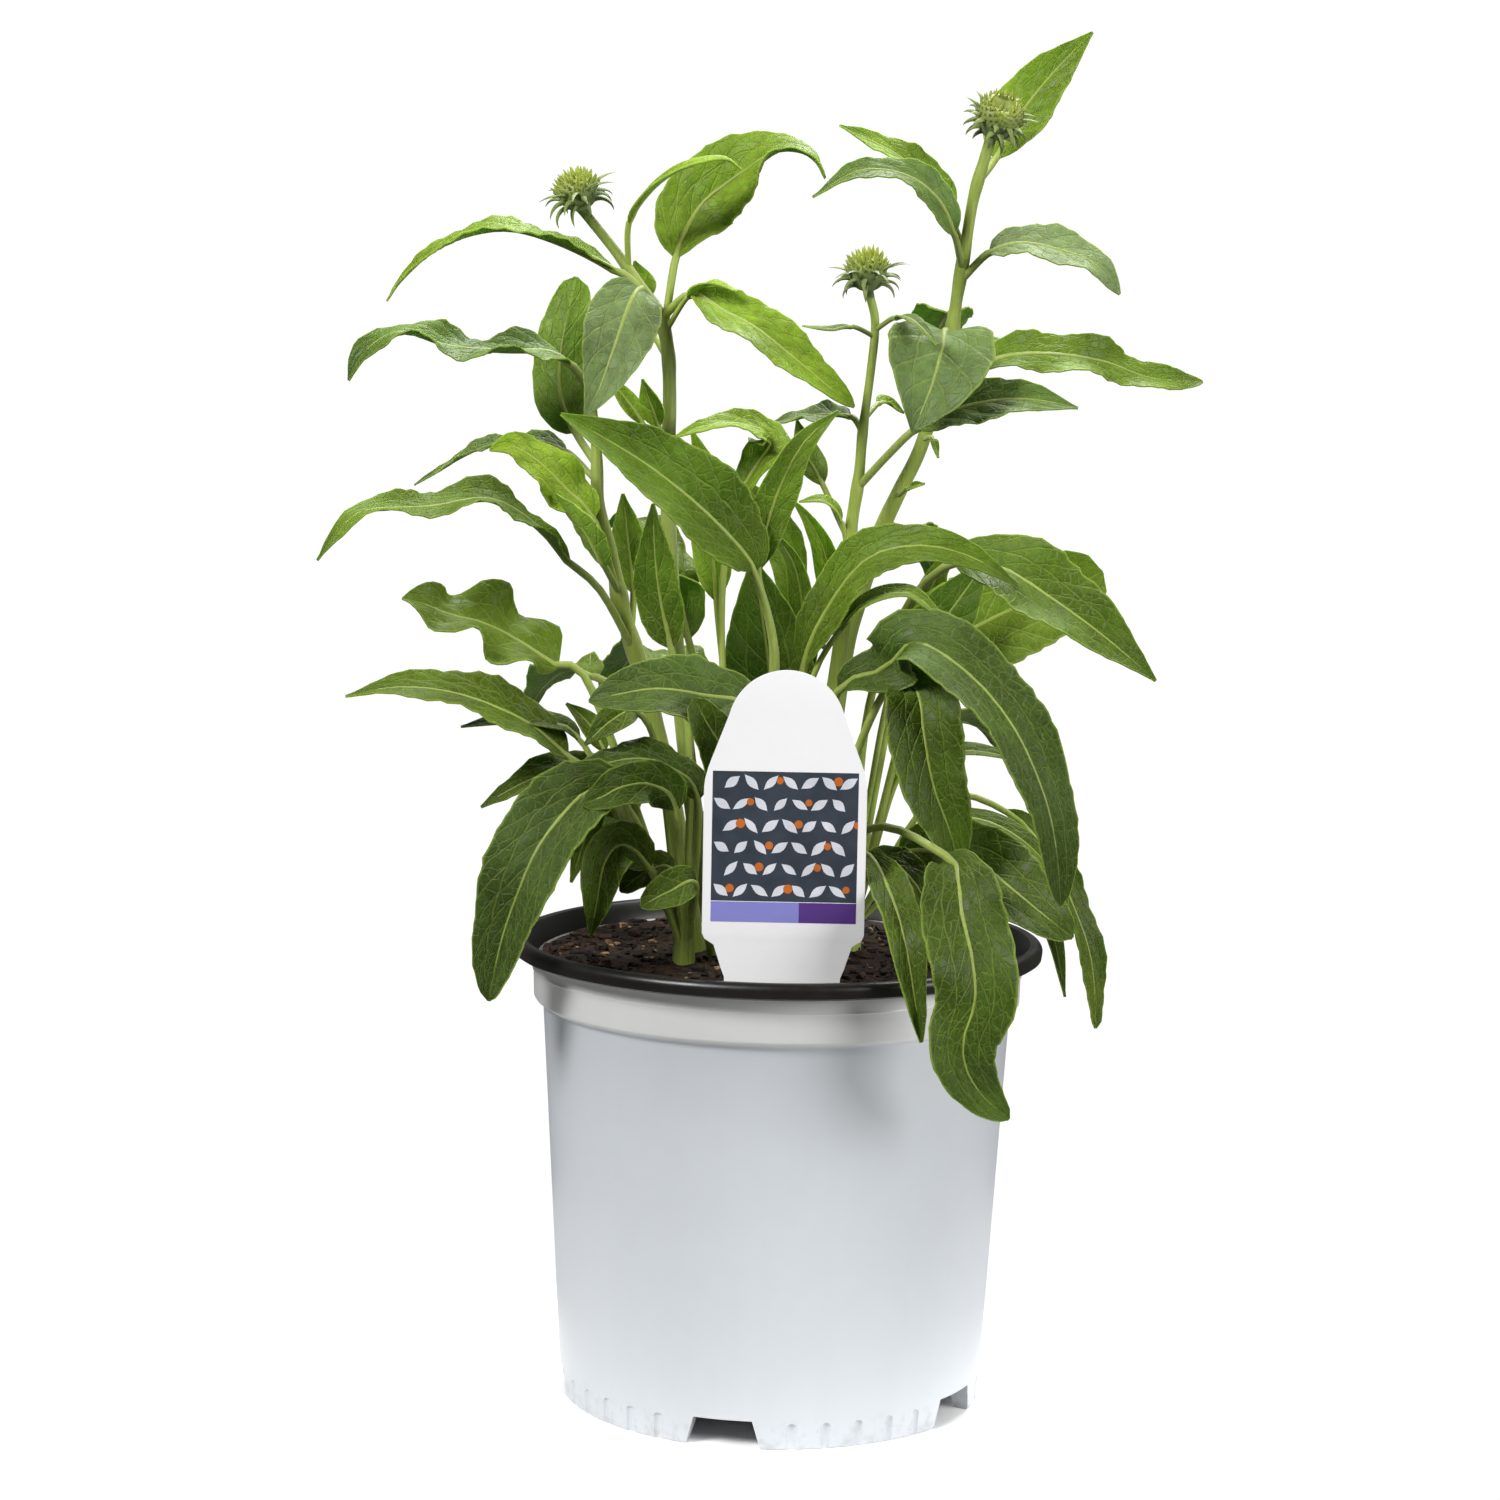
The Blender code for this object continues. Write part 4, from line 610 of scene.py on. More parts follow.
# --- materials


def put(tree, socket, value):
    if isinstance(value, bpy.types.NodeSocket):
        tree.links.new(value, socket)
    elif hasattr(value, "__len__") and len(value) == 3 and socket.type == "RGBA":
        socket.default_value = (*value, 1)
    else:
        socket.default_value = value


def add_node(tree, kind, inputs=(), **settings):
    made = tree.nodes.new(kind)
    for name, value in settings.items():
        setattr(made, name, value)
    for key, value in dict(inputs).items():
        put(tree, made.inputs[key], value)
    return made


def calc(tree, operation, a, b=0.0, c=0.0):
    return add_node(tree, "ShaderNodeMath", {0: a, 1: b, 2: c}, operation=operation).outputs[0]


def times(tree, a, b):
    return calc(tree, "MULTIPLY", a, b)


def gather(tree, operation, *values):
    """One value from several, taken two at a time."""
    return reduce(lambda a, b: calc(tree, operation, a, b), values)


def apart(tree, a, b):
    """How far two values are from each other."""
    return calc(tree, "ABSOLUTE", calc(tree, "SUBTRACT", a, b))


def mix(tree, share, a, b, mode="MIX"):
    made = add_node(tree, "ShaderNodeMix", data_type="RGBA", blend_type=mode)
    put(tree, made.inputs[0], share)
    put(tree, made.inputs[6], a)
    put(tree, made.inputs[7], b)
    return made.outputs[2]


def fade(tree, value, low, high, to_low=0.0, to_high=1.0):
    """Map a value from one span to another with soft ends."""
    spans = {0: value, 1: low, 2: high, 3: to_low, 4: to_high}
    return add_node(tree, "ShaderNodeMapRange", spans, interpolation_type="SMOOTHSTEP").outputs[0]


def line_at(tree, distance, solid, soft):
    """A line that is whole up to one distance and gone beyond the other."""
    return fade(tree, distance, solid, soft, 1.0, 0.0)


def number(tree, name):
    return add_node(tree, "ShaderNodeAttribute", attribute_name=name).outputs["Fac"]


def split(tree, vector):
    return add_node(tree, "ShaderNodeSeparateXYZ", {0: vector}).outputs


def grey(tree, level):
    return add_node(tree, "ShaderNodeCombineColor", {0: level, 1: level, 2: level}).outputs[0]


def drawn_out(tree, place, squeeze):
    """A place squeezed in height, so that a pattern on it is drawn out upright."""
    return add_node(tree, "ShaderNodeMapping",
                    {"Vector": place, "Scale": (1, 1, squeeze)}).outputs[0]


def here(tree):
    return add_node(tree, "ShaderNodeTexCoord").outputs["Object"]


def speckle(tree, place, scale, detail=4.0, roughness=0.55):
    return add_node(tree, "ShaderNodeTexNoise", {"Vector": place, "Scale": scale, "Detail": detail,
                                                 "Roughness": roughness}).outputs["Fac"]


def bump(tree, height, strength, distance):
    return add_node(tree, "ShaderNodeBump", {"Height": height, "Strength": strength,
                                             "Distance": distance}).outputs["Normal"]


def new_material(name, roughness=0.5, **values):
    """A material's tree and its shader, with the shader's plain values set on it."""
    material = bpy.data.materials.new(name)
    material.use_nodes = True
    shader = material.node_tree.nodes["Principled BSDF"]
    shader.inputs["Roughness"].default_value = roughness
    for key, value in values.items():
        shader.inputs[key.replace("_", " ")].default_value = value
    return material, material.node_tree, shader


def surface(tree, shader, colour, gloss, relief):
    """Feed a shader its colour, its roughness faded from a value, and its relief from a height."""
    put(tree, shader.inputs["Base Color"], colour)
    put(tree, shader.inputs["Roughness"], fade(tree, *gloss))
    put(tree, shader.inputs["Normal"], bump(tree, *relief))


def mottle_group():
    """Cloudy and fine variation of a colour, shared by every finish."""
    name = "Mottle"
    if name in bpy.data.node_groups:
        return bpy.data.node_groups[name]
    group = bpy.data.node_groups.new(name, "ShaderNodeTree")
    for label, kind, value in (("Color", "NodeSocketColor", (1, 1, 1, 1)),
                               ("Vector", "NodeSocketVector", None),
                               ("Scale", "NodeSocketFloat", 100.0),
                               ("Amount", "NodeSocketFloat", 0.2)):
        socket = group.interface.new_socket(name=label, in_out="INPUT", socket_type=kind)
        if value is not None:
            socket.default_value = value
    group.interface.new_socket(name="Color", in_out="OUTPUT", socket_type="NodeSocketColor")
    group.interface.new_socket(name="Height", in_out="OUTPUT", socket_type="NodeSocketFloat")
    given = group.nodes.new("NodeGroupInput")
    result = group.nodes.new("NodeGroupOutput")
    colour, place, scale, amount = (
        given.outputs[key] for key in ("Color", "Vector", "Scale", "Amount"))
    cloud = speckle(group, place, scale, 3.0)
    grain = speckle(group, place, times(group, scale, 9.0), 4.0)
    both = calc(group, "ADD", times(group, cloud, 0.65), times(group, grain, 0.35))
    swing = times(group, calc(group, "SUBTRACT", both, 0.5), times(group, amount, 5.0))
    level = calc(group, "MAXIMUM", calc(group, "ADD", swing, 1.0), 0.05)
    put(group, result.inputs["Color"], mix(group, 1.0, colour, grey(group, level), "MULTIPLY"))
    put(group, result.inputs["Height"], both)
    return group


def mottled(tree, colour, scale, amount, place=None):
    """A colour with its clouds, and the clouds' own height."""
    made = add_node(tree, "ShaderNodeGroup", node_tree=mottle_group())
    for key, value in (("Color", colour), ("Vector", place or here(tree)), ("Scale", scale),
                       ("Amount", amount)):
        put(tree, made.inputs[key], value)
    return made.outputs["Color"], made.outputs["Height"]


def leaf_finish(looks):
    """Dull green with sunk veins and a fine net, paler and yellower beneath."""
    material, tree, shader = new_material(
        "coneflower_leaf", Subsurface_Weight=0.55, Subsurface_Scale=0.0016,
        Subsurface_Radius=(0.6, 1.0, 0.15), Sheen_Weight=0.05, Sheen_Roughness=0.35,
        Sheen_Tint=(0.85, 1.0, 0.75, 1), Specular_IOR_Level=0.17)
    u, along, _ = split(tree, add_node(tree, "ShaderNodeUVMap", uv_map="UVMap").outputs[0])
    across = calc(tree, "ABSOLUTE", calc(tree, "MULTIPLY_ADD", u, 2.0, -1.0))
    young, hoary, under, length, width = (
        number(tree, name)
        for name in ("young", "hoary", "underside", "blade_length", "blade_width"))
    place = here(tree)

    # the blade laid flat at its real size, and bent a little so that the nets wander
    flat = add_node(tree, "ShaderNodeCombineXYZ", {
        0: times(tree, u, width),
        1: times(tree, length, calc(tree, "ADD", along, NET_START))}).outputs[0]
    drift = add_node(tree, "ShaderNodeTexNoise",
                     {"Vector": flat, "Scale": NETS[0][0], "Detail": 2.0}).outputs["Color"]
    bent = add_node(tree, "ShaderNodeVectorMath", {0: drift, 1: (NET_DRIFT,) * 3, 2: flat},
                    operation="MULTIPLY_ADD").outputs["Vector"]
    nets = []
    for scale, line in NETS:
        cells = add_node(tree, "ShaderNodeTexVoronoi", {"Vector": bent, "Scale": scale},
                         voronoi_dimensions="2D", feature="DISTANCE_TO_EDGE").outputs["Distance"]
        nets.append(line_at(tree, cells, 0.0, line))
    net = calc(tree, "MAXIMUM", nets[0], times(tree, nets[1], 0.5))

    wander = calc(tree, "MULTIPLY_ADD", speckle(tree, place, 120.0, 2.0), 0.10, -0.05)
    wavy = calc(tree, "ADD", across, wander)
    midrib = line_at(tree, across, 0.015, 0.055)
    side = line_at(tree, apart(tree, wavy, SIDE_VEIN_AT), 0.008, 0.035)
    slant = calc(tree, "MULTIPLY_ADD", wavy, -LATERAL_SLANT, along)
    turn = calc(tree, "FRACT", times(tree, slant, times(tree, length, LATERALS)))
    lateral = line_at(tree, apart(tree, turn, 0.5), 0.0, 0.09)
    veins = gather(tree, "MAXIMUM", times(tree, lateral, 0.85), times(tree, net, 0.60),
                   times(tree, side, 0.85), times(tree, midrib, 1.3))
    sunk = gather(tree, "ADD", times(tree, lateral, -0.6), times(tree, nets[0], -0.40),
                  times(tree, side, -0.8))

    # the upper side from an old leaf's tone to a young one's, darker also on leaves in shade as
    # painted shade
    upper = mix(tree, young, looks.mature_colour, looks.young_colour)
    # hairy leaves greyed, partly by their hairs and partly by a painted sheen
    upper = mix(tree, hoary, upper, looks.hoary_sheen_colour)
    lower = mix(tree, 0.55, looks.underside_colour, upper)
    body, cloud = mottled(tree, mix(tree, under, upper, lower), 45.0, 0.50, place)
    # painted shade darkens the lower leaves and painted light brightens the top ones, some of the
    # lower leaves' darkness being their age
    level = fade(tree, split(tree, place)[2], *AGE_AND_SHADE_HEIGHTS, *AGE_AND_SHADE_LEVELS)
    body = mix(tree, 1.0, body, grey(tree, level), "MULTIPLY")
    veined = mix(tree, times(tree, veins, calc(tree, "MULTIPLY_ADD", young, 0.22, 0.28)),
                 body, looks.vein_colour)
    edge = fade(tree, across, 0.92, 1.0, 0.0, 0.40)
    surface(tree, shader, mix(tree, edge, veined, looks.vein_colour),
            (cloud, 0.2, 0.8, 0.38, 0.56), (sunk, 0.8, 0.0005))
    return material


def stalk_finish(looks):
    """Ribbed stems and leaf stalks, from dull green to yellow-green."""
    material, tree, shader = new_material(
        "coneflower_stalk", Subsurface_Weight=0.12, Subsurface_Scale=0.0012,
        Subsurface_Radius=(0.7, 1.0, 0.3), Sheen_Weight=0.25, Sheen_Roughness=0.6)
    place = here(tree)
    ribs = speckle(tree, drawn_out(tree, place, 0.06), 1500.0, 2.0)
    colour = mix(tree, number(tree, "young"), looks.stem_colour, looks.stalk_colour)
    colour = mix(tree, fade(tree, ribs, 0.45, 0.65, 0.0, 0.35), colour, looks.vein_colour)
    colour, cloud = mottled(tree, colour, 90.0, 0.14, place)
    surface(tree, shader, colour, (cloud, 0.2, 0.8, 0.42, 0.60), (ribs, 0.5, 0.0004))
    return material


def bud_finish(looks):
    """Green bracts below, shading into the yellow-green florets on top."""
    material, tree, shader = new_material(
        "coneflower_bud", Subsurface_Weight=0.15, Subsurface_Scale=0.0010,
        Subsurface_Radius=(0.8, 1.0, 0.3), Sheen_Weight=0.35, Sheen_Roughness=0.5)
    colour = mix(tree, number(tree, "ripe"), looks.bract_colour, looks.floret_colour)
    colour, cloud = mottled(tree, colour, 260.0, 0.25)
    surface(tree, shader, colour, (cloud, 0.2, 0.8, 0.45, 0.65), (cloud, 0.35, 0.0003))
    return material


def plastic_finish(name, colour, roughness, amount):
    """Moulded plastic: faint cloudiness, a fine orange peel, and wear in its gloss."""
    material, tree, shader = new_material(name, roughness)
    body, cloud = mottled(tree, colour, 22.0, amount)
    surface(tree, shader, body, (cloud, 0.3, 0.7, roughness - 0.05, roughness + 0.08),
            (speckle(tree, here(tree), 900.0, 2.0), 0.35, 0.00008))
    return material


def wall_finish(looks):
    """The white wall: cool below the step, warmer on the collar, lightly scuffed at the foot."""
    material, tree, shader = new_material("pot_wall", 0.36, Coat_Weight=0.12, Coat_Roughness=0.30)
    place = here(tree)
    height = split(tree, place)[2]
    collar = fade(tree, height, COLLAR_BOTTOM - 0.0006, COLLAR_BOTTOM + 0.0006)
    colour = mix(tree, collar, looks.wall_colour, looks.collar_colour)
    body, cloud = mottled(tree, colour, 14.0, 0.025, place)
    streaks = speckle(tree, drawn_out(tree, place, 0.05), 160.0, 2.0)
    body = mix(tree, fade(tree, streaks, 0.40, 0.75, 0.0, 0.06), body, (0.50, 0.52, 0.55))
    scuff = times(tree, fade(tree, height, 0.0, 0.012, 0.35, 0.0),
                  fade(tree, speckle(tree, place, 300.0, 5.0), 0.48, 0.70))
    surface(tree, shader, mix(tree, scuff, body, (0.30, 0.27, 0.23)),
            (cloud, 0.3, 0.7, 0.31, 0.42), (speckle(tree, place, 700.0, 2.0), 0.25, 0.00008))
    return material


def soil_finish(looks):
    """Damp peat with brown bark in it."""
    material, tree, shader = new_material("potting_mix", 0.9, Specular_IOR_Level=0.2)
    place = here(tree)
    crumbs = speckle(tree, place, 420.0, 6.0, 0.7)
    colour = mix(tree, fade(tree, crumbs, 0.42, 0.62), looks.dark_colour, looks.brown_colour)
    colour, cloud = mottled(tree, colour, 160.0, 0.30, place)
    surface(tree, shader, colour, (cloud, 0.2, 0.8, 0.75, 0.98), (crumbs, 0.9, 0.0012))
    return material


def chip_finish(looks):
    """Bark chips from near black to dry tan, with a fibrous grain."""
    material, tree, shader = new_material("bark_chip", 0.85, Specular_IOR_Level=0.2)
    pale = number(tree, "pale")
    colour = mix(tree, fade(tree, pale, 0.40, 0.95), looks.dark_colour, looks.brown_colour)
    colour = mix(tree, fade(tree, pale, 0.89, 0.94), colour, looks.pale_colour)
    colour, cloud = mottled(tree, colour, 300.0, 0.35)
    surface(tree, shader, colour, (cloud, 0.2, 0.8, 0.70, 0.95), (cloud, 0.7, 0.0005))
    return material


# --- lines through the plant


def smooth_line(points, steps):
    """Points along a rounded line through the given ones, steps to a span."""
    points = [np.asarray(p, float) for p in points]
    ends = [2 * points[0] - points[1]] + points + [2 * points[-1] - points[-2]]
    line = []
    for a, b, c, d in zip(ends, ends[1:], ends[2:], ends[3:]):
        for t in np.arange(steps) / steps:
            line.append(0.5 * (2 * b + (c - a) * t + (2 * a - 5 * b + 4 * c - d) * t ** 2
                               + (3 * b - a - 3 * c + d) * t ** 3))
    line.append(points[-1])
    return np.array(line)


def lengths_along(line):
    return np.concatenate([[0], np.cumsum(np.linalg.norm(np.diff(line, axis=0), axis=1))])


def points_at(line, along, distances):
    return np.stack([np.interp(distances, along, line[:, axis]) for axis in range(3)], axis=-1)


def unit(vectors):
    return vectors / np.linalg.norm(vectors, axis=-1, keepdims=True)


def axis_at_height(path, height):
    """The point of a stem's middle line at a height."""
    line = smooth_line(path, 6)
    return np.array([np.interp(height, line[:, 2], line[:, 0]),
                     np.interp(height, line[:, 2], line[:, 1]), height])


def leaf_line(leaf, path):
    """A leaf's line from its root to its tip, the length along it, and where the blade starts."""
    root = axis_at_height(path, leaf.root)
    if len(path) == CROWN_PATH_POINTS:
        out = np.array(leaf.path[0][:2]) - root[:2]
        root[:2] += CROWN_SPREAD * out / (np.linalg.norm(out) + 1e-6)
    line = smooth_line([root] + [np.array(p, float) for p in leaf.path], LINE_STEPS) * MM
    along = lengths_along(line)
    return line, along, along[LINE_STEPS * leaf.shoulder]


def mesh_of_curve(primitive, points, radii=None, **settings):
    """The mesh of a curve through the points, with its radius at each, or else of an outline."""
    guide = add(primitive)
    curve = guide.data
    curve.splines.clear()
    for name, value in settings.items():
        setattr(curve, name, value)
    spline = curve.splines.new("POLY")
    spline.points.add(len(points) - 1)
    spline.use_cyclic_u = radii is None
    for index, point in enumerate(spline.points):
        point.co = (*points[index], 1)
        if radii is not None:
            point.radius = radii[index]
    pick(guide)
    bpy.ops.object.convert(target="MESH")
    return bpy.context.object


def add_tube(points, radii, sides):
    """A closed round tube through the points, with its own radius at each."""
    tube = mesh_of_curve(bpy.ops.curve.primitive_nurbs_path_add, points, radii, bevel_depth=1.0,
                         bevel_resolution=max(sides // 2 - 2, 0), use_fill_caps=True)
    weld(tube)
    return tube


# --- leaves


def blade_share(t, blunt):
    """Share of the full width at t along the blade, which ends drawn out or blunt."""
    turn = math.log(0.5) / math.log(WIDEST_AT)
    rounding = np.where(t < WIDEST_AT, 0.9, 0.9 - 0.6 * blunt)
    return np.abs(np.sin(math.pi * np.clip(t, 0, 1) ** turn)) ** rounding


def upper_side(leaf, ahead, t):
    """The way the blade's upper side faces, square to its line, turning towards the tip's."""
    face, end_face = (np.array(f, float) for f in (leaf.face, leaf.end_face or leaf.face))
    turned = face + (end_face - face) * np.clip(t, 0, 1)[:, None] ** 2
    return unit(turned - np.sum(turned * ahead, axis=1)[:, None] * ahead)


def add_blade(leaf, path, looks):
    """A grid laid along the leaf's line, folded, waved, toothed and veined, then made thick."""
    line, along, start = leaf_line(leaf, path)
    blade = along[-1] - start
    rows = int(np.clip(blade / ROW_SPACING, 14, 52))
    columns = 8 if leaf.width < 9 else 12 if leaf.width < 17 else 16
    obj = add(bpy.ops.mesh.primitive_grid_add, x_subdivisions=columns, y_subdivisions=rows, size=2)
    flat = points_of(obj)
    across, t = flat[:, 0], (flat[:, 1] + 1) / 2
    off = np.abs(across)
    distance = start + blade * t
    middle = points_at(line, along, distance)
    ahead = unit(points_at(line, along, np.minimum(distance + LOOK_AHEAD, along[-1]))
                 - points_at(line, along, np.maximum(distance - LOOK_AHEAD, 0)))
    up = upper_side(leaf, ahead, t)
    side = np.cross(ahead, up)
    phase = leaf.phase
    if phase is None:
        phase = random.Random(leaf.name).uniform(0, 2 * math.pi)

    # the edge: its outline, its forward-leaning teeth and its waves
    share = blade_share(t, leaf.blunt)
    saw = (t * max(round(blade / TOOTH_PITCH), 3)) % 1.0
    tooth = TOOTH if leaf.width > 12 else FINE_TOOTH
    half = leaf.width * MM / 2 * share * (1 + tooth * (saw - 0.5))
    half = np.maximum(half, 0.0007 - 0.0004 * t)
    waves = 1.6 + blade / WAVE_PITCH
    wave = leaf.wave * MM * share * np.sin(waves * 2 * math.pi * t + phase + 1 + across)
    rise = leaf.fold * half * off ** 1.15 + wave * off ** 1.5

    # the ripple of a broad blade's edge, the midrib's groove, the side veins and the pucker
    broad = leaf.width > 10
    ripple = np.sin(t * blade / RIPPLE_PITCH * 2 * math.pi + phase * 3 + across * 2)
    rise += off ** 4 * share * broad * RIPPLE_HEIGHT * ripple
    rise -= GROOVE_DEPTH * np.exp(-(off * half / GROOVE_WIDTH) ** 2) * (1 - 0.6 * t)
    beside = (off - SIDE_VEIN_AT) * half / SIDE_VEIN_WIDTH
    rise -= SIDE_VEIN_DEPTH * np.exp(-beside ** 2) * share * broad
    turn = (t - LATERAL_SLANT * off) * blade * LATERALS
    pucker = np.cos(2 * math.pi * (turn - 0.5)) * off * (1 - off) * 4
    rise -= PUCKER_HEIGHT * pucker * share * min(leaf.width / 18, 1)
    place_points(obj, middle + side * (across * half)[:, None] + up * (rise + 0.0002)[:, None])

    count = len(obj.data.vertices)
    apply_modifier(obj, "SOLIDIFY", thickness=looks.blade_thickness, offset=-1.0)
    # kept for the material: each leaf's age with painted shade, and its hairs' grey with painted
    # sheen
    for name, values in (
            ("underside", (np.arange(len(obj.data.vertices)) >= count).astype(float)),
            ("young", max(leaf.young, 0) / 100), ("hoary", max(-leaf.young, 0) / 100),
            ("blade_length", blade), ("blade_width", leaf.width * MM)):
        paint(obj, name, values)
    smooth(obj, 50)
    return obj


def add_leaf_stalk(leaf, path):
    """The leaf's stalk, running on beneath the blade as its midrib."""
    line, along, start = leaf_line(leaf, path)
    end = start + PETIOLE_REACH * (along[-1] - start)
    stretch = np.linspace(0, end, PETIOLE_STEPS)
    points = points_at(line, along, stretch)
    share = np.clip((stretch - start) / (end - start), 0, 1)
    radii = PETIOLE_RADIUS * min(1.15, 0.55 + leaf.width / 30) * (1 - 0.80 * share ** 0.6)
    ahead = unit(np.gradient(points, axis=0))
    blade_part = (stretch - start) / (along[-1] - start)
    points = points - upper_side(leaf, ahead, blade_part) * (radii * 0.55 * (share > 0))[:, None]
    if len(path) == CROWN_PATH_POINTS:
        foot = points[0][:2] * 0.97 + np.array(path[0][:2]) * 0.03 * MM
        points = np.vstack([[*foot, SOIL_TOP - 0.003], points])
        radii = np.concatenate([[radii[0] * 1.35], radii])
    tube = add_tube(points, radii, 10)
    # the stalk takes its leaf's age and painted shade
    paint(tube, "young", 0.40 + 0.6 * max(leaf.young, 0) / 100)
    return tube


def add_stem(name, stem):
    """The upright stem, swollen a little where its leaves part from it."""
    line = smooth_line(stem.path, LINE_STEPS)
    x, y = stem.path[0][:2]
    line = np.vstack([[x, y, SOIL_TOP / MM - 6], line])
    share = np.linspace(-0.02, 1, len(line)).clip(0)
    radii = stem.foot_radius + (stem.top_radius - stem.foot_radius) * np.minimum(share * 1.4, 1)
    for leaf in stem.leaves:
        if leaf.width > 8:
            radii = radii * (1 + 0.16 * np.exp(-((line[:, 2] - leaf.root) / 4) ** 2))
    tube = add_tube(line * MM, radii * MM, 16)
    paint(tube, "young", 0.40 if name == "left_stem" else 0.60)
    return tube


# --- buds


def bud_frame(bud):
    """A matrix that seats a bud on its stem, and the way the stem comes in, in the bud's frame."""
    line = smooth_line(STEMS[bud.stem].path, 2) * MM
    turn = Vector(bud.face).normalized().to_track_quat("Z", "Y").to_matrix()
    along = Vector(line[-1] - line[-2]).normalized()
    return Matrix.Translation(Vector(line[-1])) @ turn.to_4x4(), turn.transposed() @ along


def add_bract(reach, hang, width):
    """One narrow bract in its own frame: out along X, up a little, then curling down."""
    count = len(BRACT_TAPER)
    angle = 0.45 - 2.15 * np.linspace(0, 1, count) * hang
    step = reach * 1.25 / (count - 1)
    x = np.concatenate([[0], np.cumsum(np.cos(angle[:-1]) * step)])
    z = np.concatenate([[0], np.cumsum(np.sin(angle[:-1]) * step)])
    points = np.stack([x - 0.0008, np.zeros(count), z], axis=-1)
    obj = add_tube(points, width / 2 * np.array(BRACT_TAPER), 6)
    flat = points_of(obj)
    ring = np.interp(flat[:, 0], points[:, 0], points[:, 2]) if hang < 0.5 else flat[:, 2]
    place_points(obj, np.stack([flat[:, 0], flat[:, 1] * 1.5,
                                flat[:, 2] * 0.6 + ring * 0.4], axis=-1))
    return obj


def add_floret(length, width):
    """One pointed floret in its own frame, upright along Z, swollen below its middle."""
    obj = add(bpy.ops.mesh.primitive_cone_add, vertices=6, radius1=width / 2,
              radius2=width * 0.05, depth=length, location=(0, 0, length / 2),
              end_fill_type="NGON")
    settle(obj)
    swollen = (0, 0, length * 0.45)
    with editing(obj):
        bpy.ops.mesh.bisect(plane_co=swollen, plane_no=(0, 0, 1))
        bpy.ops.transform.resize(value=(1.45, 1.45, 1), center_override=swollen)
    return obj


def placed_copy(model, place, ripe):
    """A copy moved by a matrix, with its ripeness kept."""
    obj = copy_of(model)
    obj.data.transform(place)
    paint(obj, "ripe", ripe)
    return obj


def add_core(bud, middle):
    """The bud's dome, dented on top where the bud is."""
    radius, height = bud.radius * MM, bud.height * MM
    core = add(bpy.ops.mesh.primitive_uv_sphere_add, segments=28, ring_count=18, radius=1)
    x, y, z = points_of(core).T
    dent = bud.dent * 0.75 * np.exp(-(np.hypot(x, y) / 0.42) ** 2) * (z > 0)
    tops = middle + (z - dent) * height / 2
    place_points(core, np.stack([x * radius, y * radius, tops], axis=-1))
    paint(core, "ripe", np.clip((points_of(core)[:, 2] - middle) / (height / 2) * 0.8, 0, 0.7))
    return core


def add_neck(bud, along):
    """The neck that starts square to the stem's end and widens into the core."""
    thin, radius = STEMS[bud.stem].top_radius * MM, bud.radius * MM
    neck = add_tube([tuple(along * -0.0015), tuple(along * 0.0005), (0, 0, NECK + 0.0005),
                     (0, 0, NECK + bud.height * MM * 0.15)],
                    [thin, thin * 1.1, radius * 0.45, radius * 0.70], 16)
    paint(neck, "ripe", 0.0)
    return neck


def scatter_florets(bud, middle, draw):
    """Florets in a seed head's spiral over the dome, leaning in over a dent."""
    radius, height = bud.radius * MM, bud.height * MM
    floret = add_floret(*(size * MM for size in bud.floret))
    florets = []
    for i in range(bud.florets):
        share = (i + 0.5) / bud.florets
        tilt = math.acos(1 - 0.98 * share)
        if bud.dent and tilt < 0.52:
            continue
        spin = i * GOLDEN_ANGLE
        out = Vector((math.sin(tilt) * math.cos(spin), math.sin(tilt) * math.sin(spin),
                      math.cos(tilt)))
        root = Vector((out.x * radius, out.y * radius, middle + out.z * height / 2)) * 0.93
        lean = out * (0.55 if bud.dent else 0.8) + Vector((0, 0, 0.65))
        if bud.dent and tilt < 0.75:
            lean = Vector((-out.x, -out.y, 0)) * 0.35 + Vector((0, 0, 1))
        size = draw.uniform(0.75, 1.05) * (1.0 - 0.25 * share)
        turn = lean.normalized().to_track_quat("Z", "Y").to_matrix().to_4x4()
        place = Matrix.Translation(root) @ turn @ Matrix.Diagonal((size, size, size, 1))
        ripe = min(1.0, 1.05 - 0.75 * share + draw.uniform(-0.1, 0.1))
        florets.append(placed_copy(floret, place, ripe))
    bpy.data.objects.remove(floret)
    return florets


def scatter_bracts(bud, middle, draw):
    """Rings of bracts round the core, each ring lower and hanging further than the last."""
    bracts = []
    for ring, (count, (hang, level)) in enumerate(zip(bud.rings, BRACT_RINGS)):
        model = add_bract(bud.reach * MM, hang, BRACT_WIDTH)
        girth = math.sqrt(1 - level ** 2)
        seat = Matrix.Translation((bud.radius * MM * girth * 0.95, 0,
                                   middle + level * bud.height * MM / 2))
        for i in range(count):
            spin = 2 * math.pi * (i + 0.37 * ring) / count + draw.uniform(-0.12, 0.12)
            size = draw.uniform(0.80, 1.15)
            place = (Matrix.Rotation(spin, 4, "Z") @ seat
                     @ Matrix.Rotation(draw.uniform(-0.25, 0.25), 4, "Y")
                     @ Matrix.Rotation(draw.uniform(-0.3, 0.3), 4, "Z")
                     @ Matrix.Diagonal((size, 1, size, 1)))
            ripe = draw.uniform(0.0, 0.25) + 0.12 * (ring == 0)
            bracts.append(placed_copy(model, place, ripe))
        bpy.data.objects.remove(model)
    return bracts


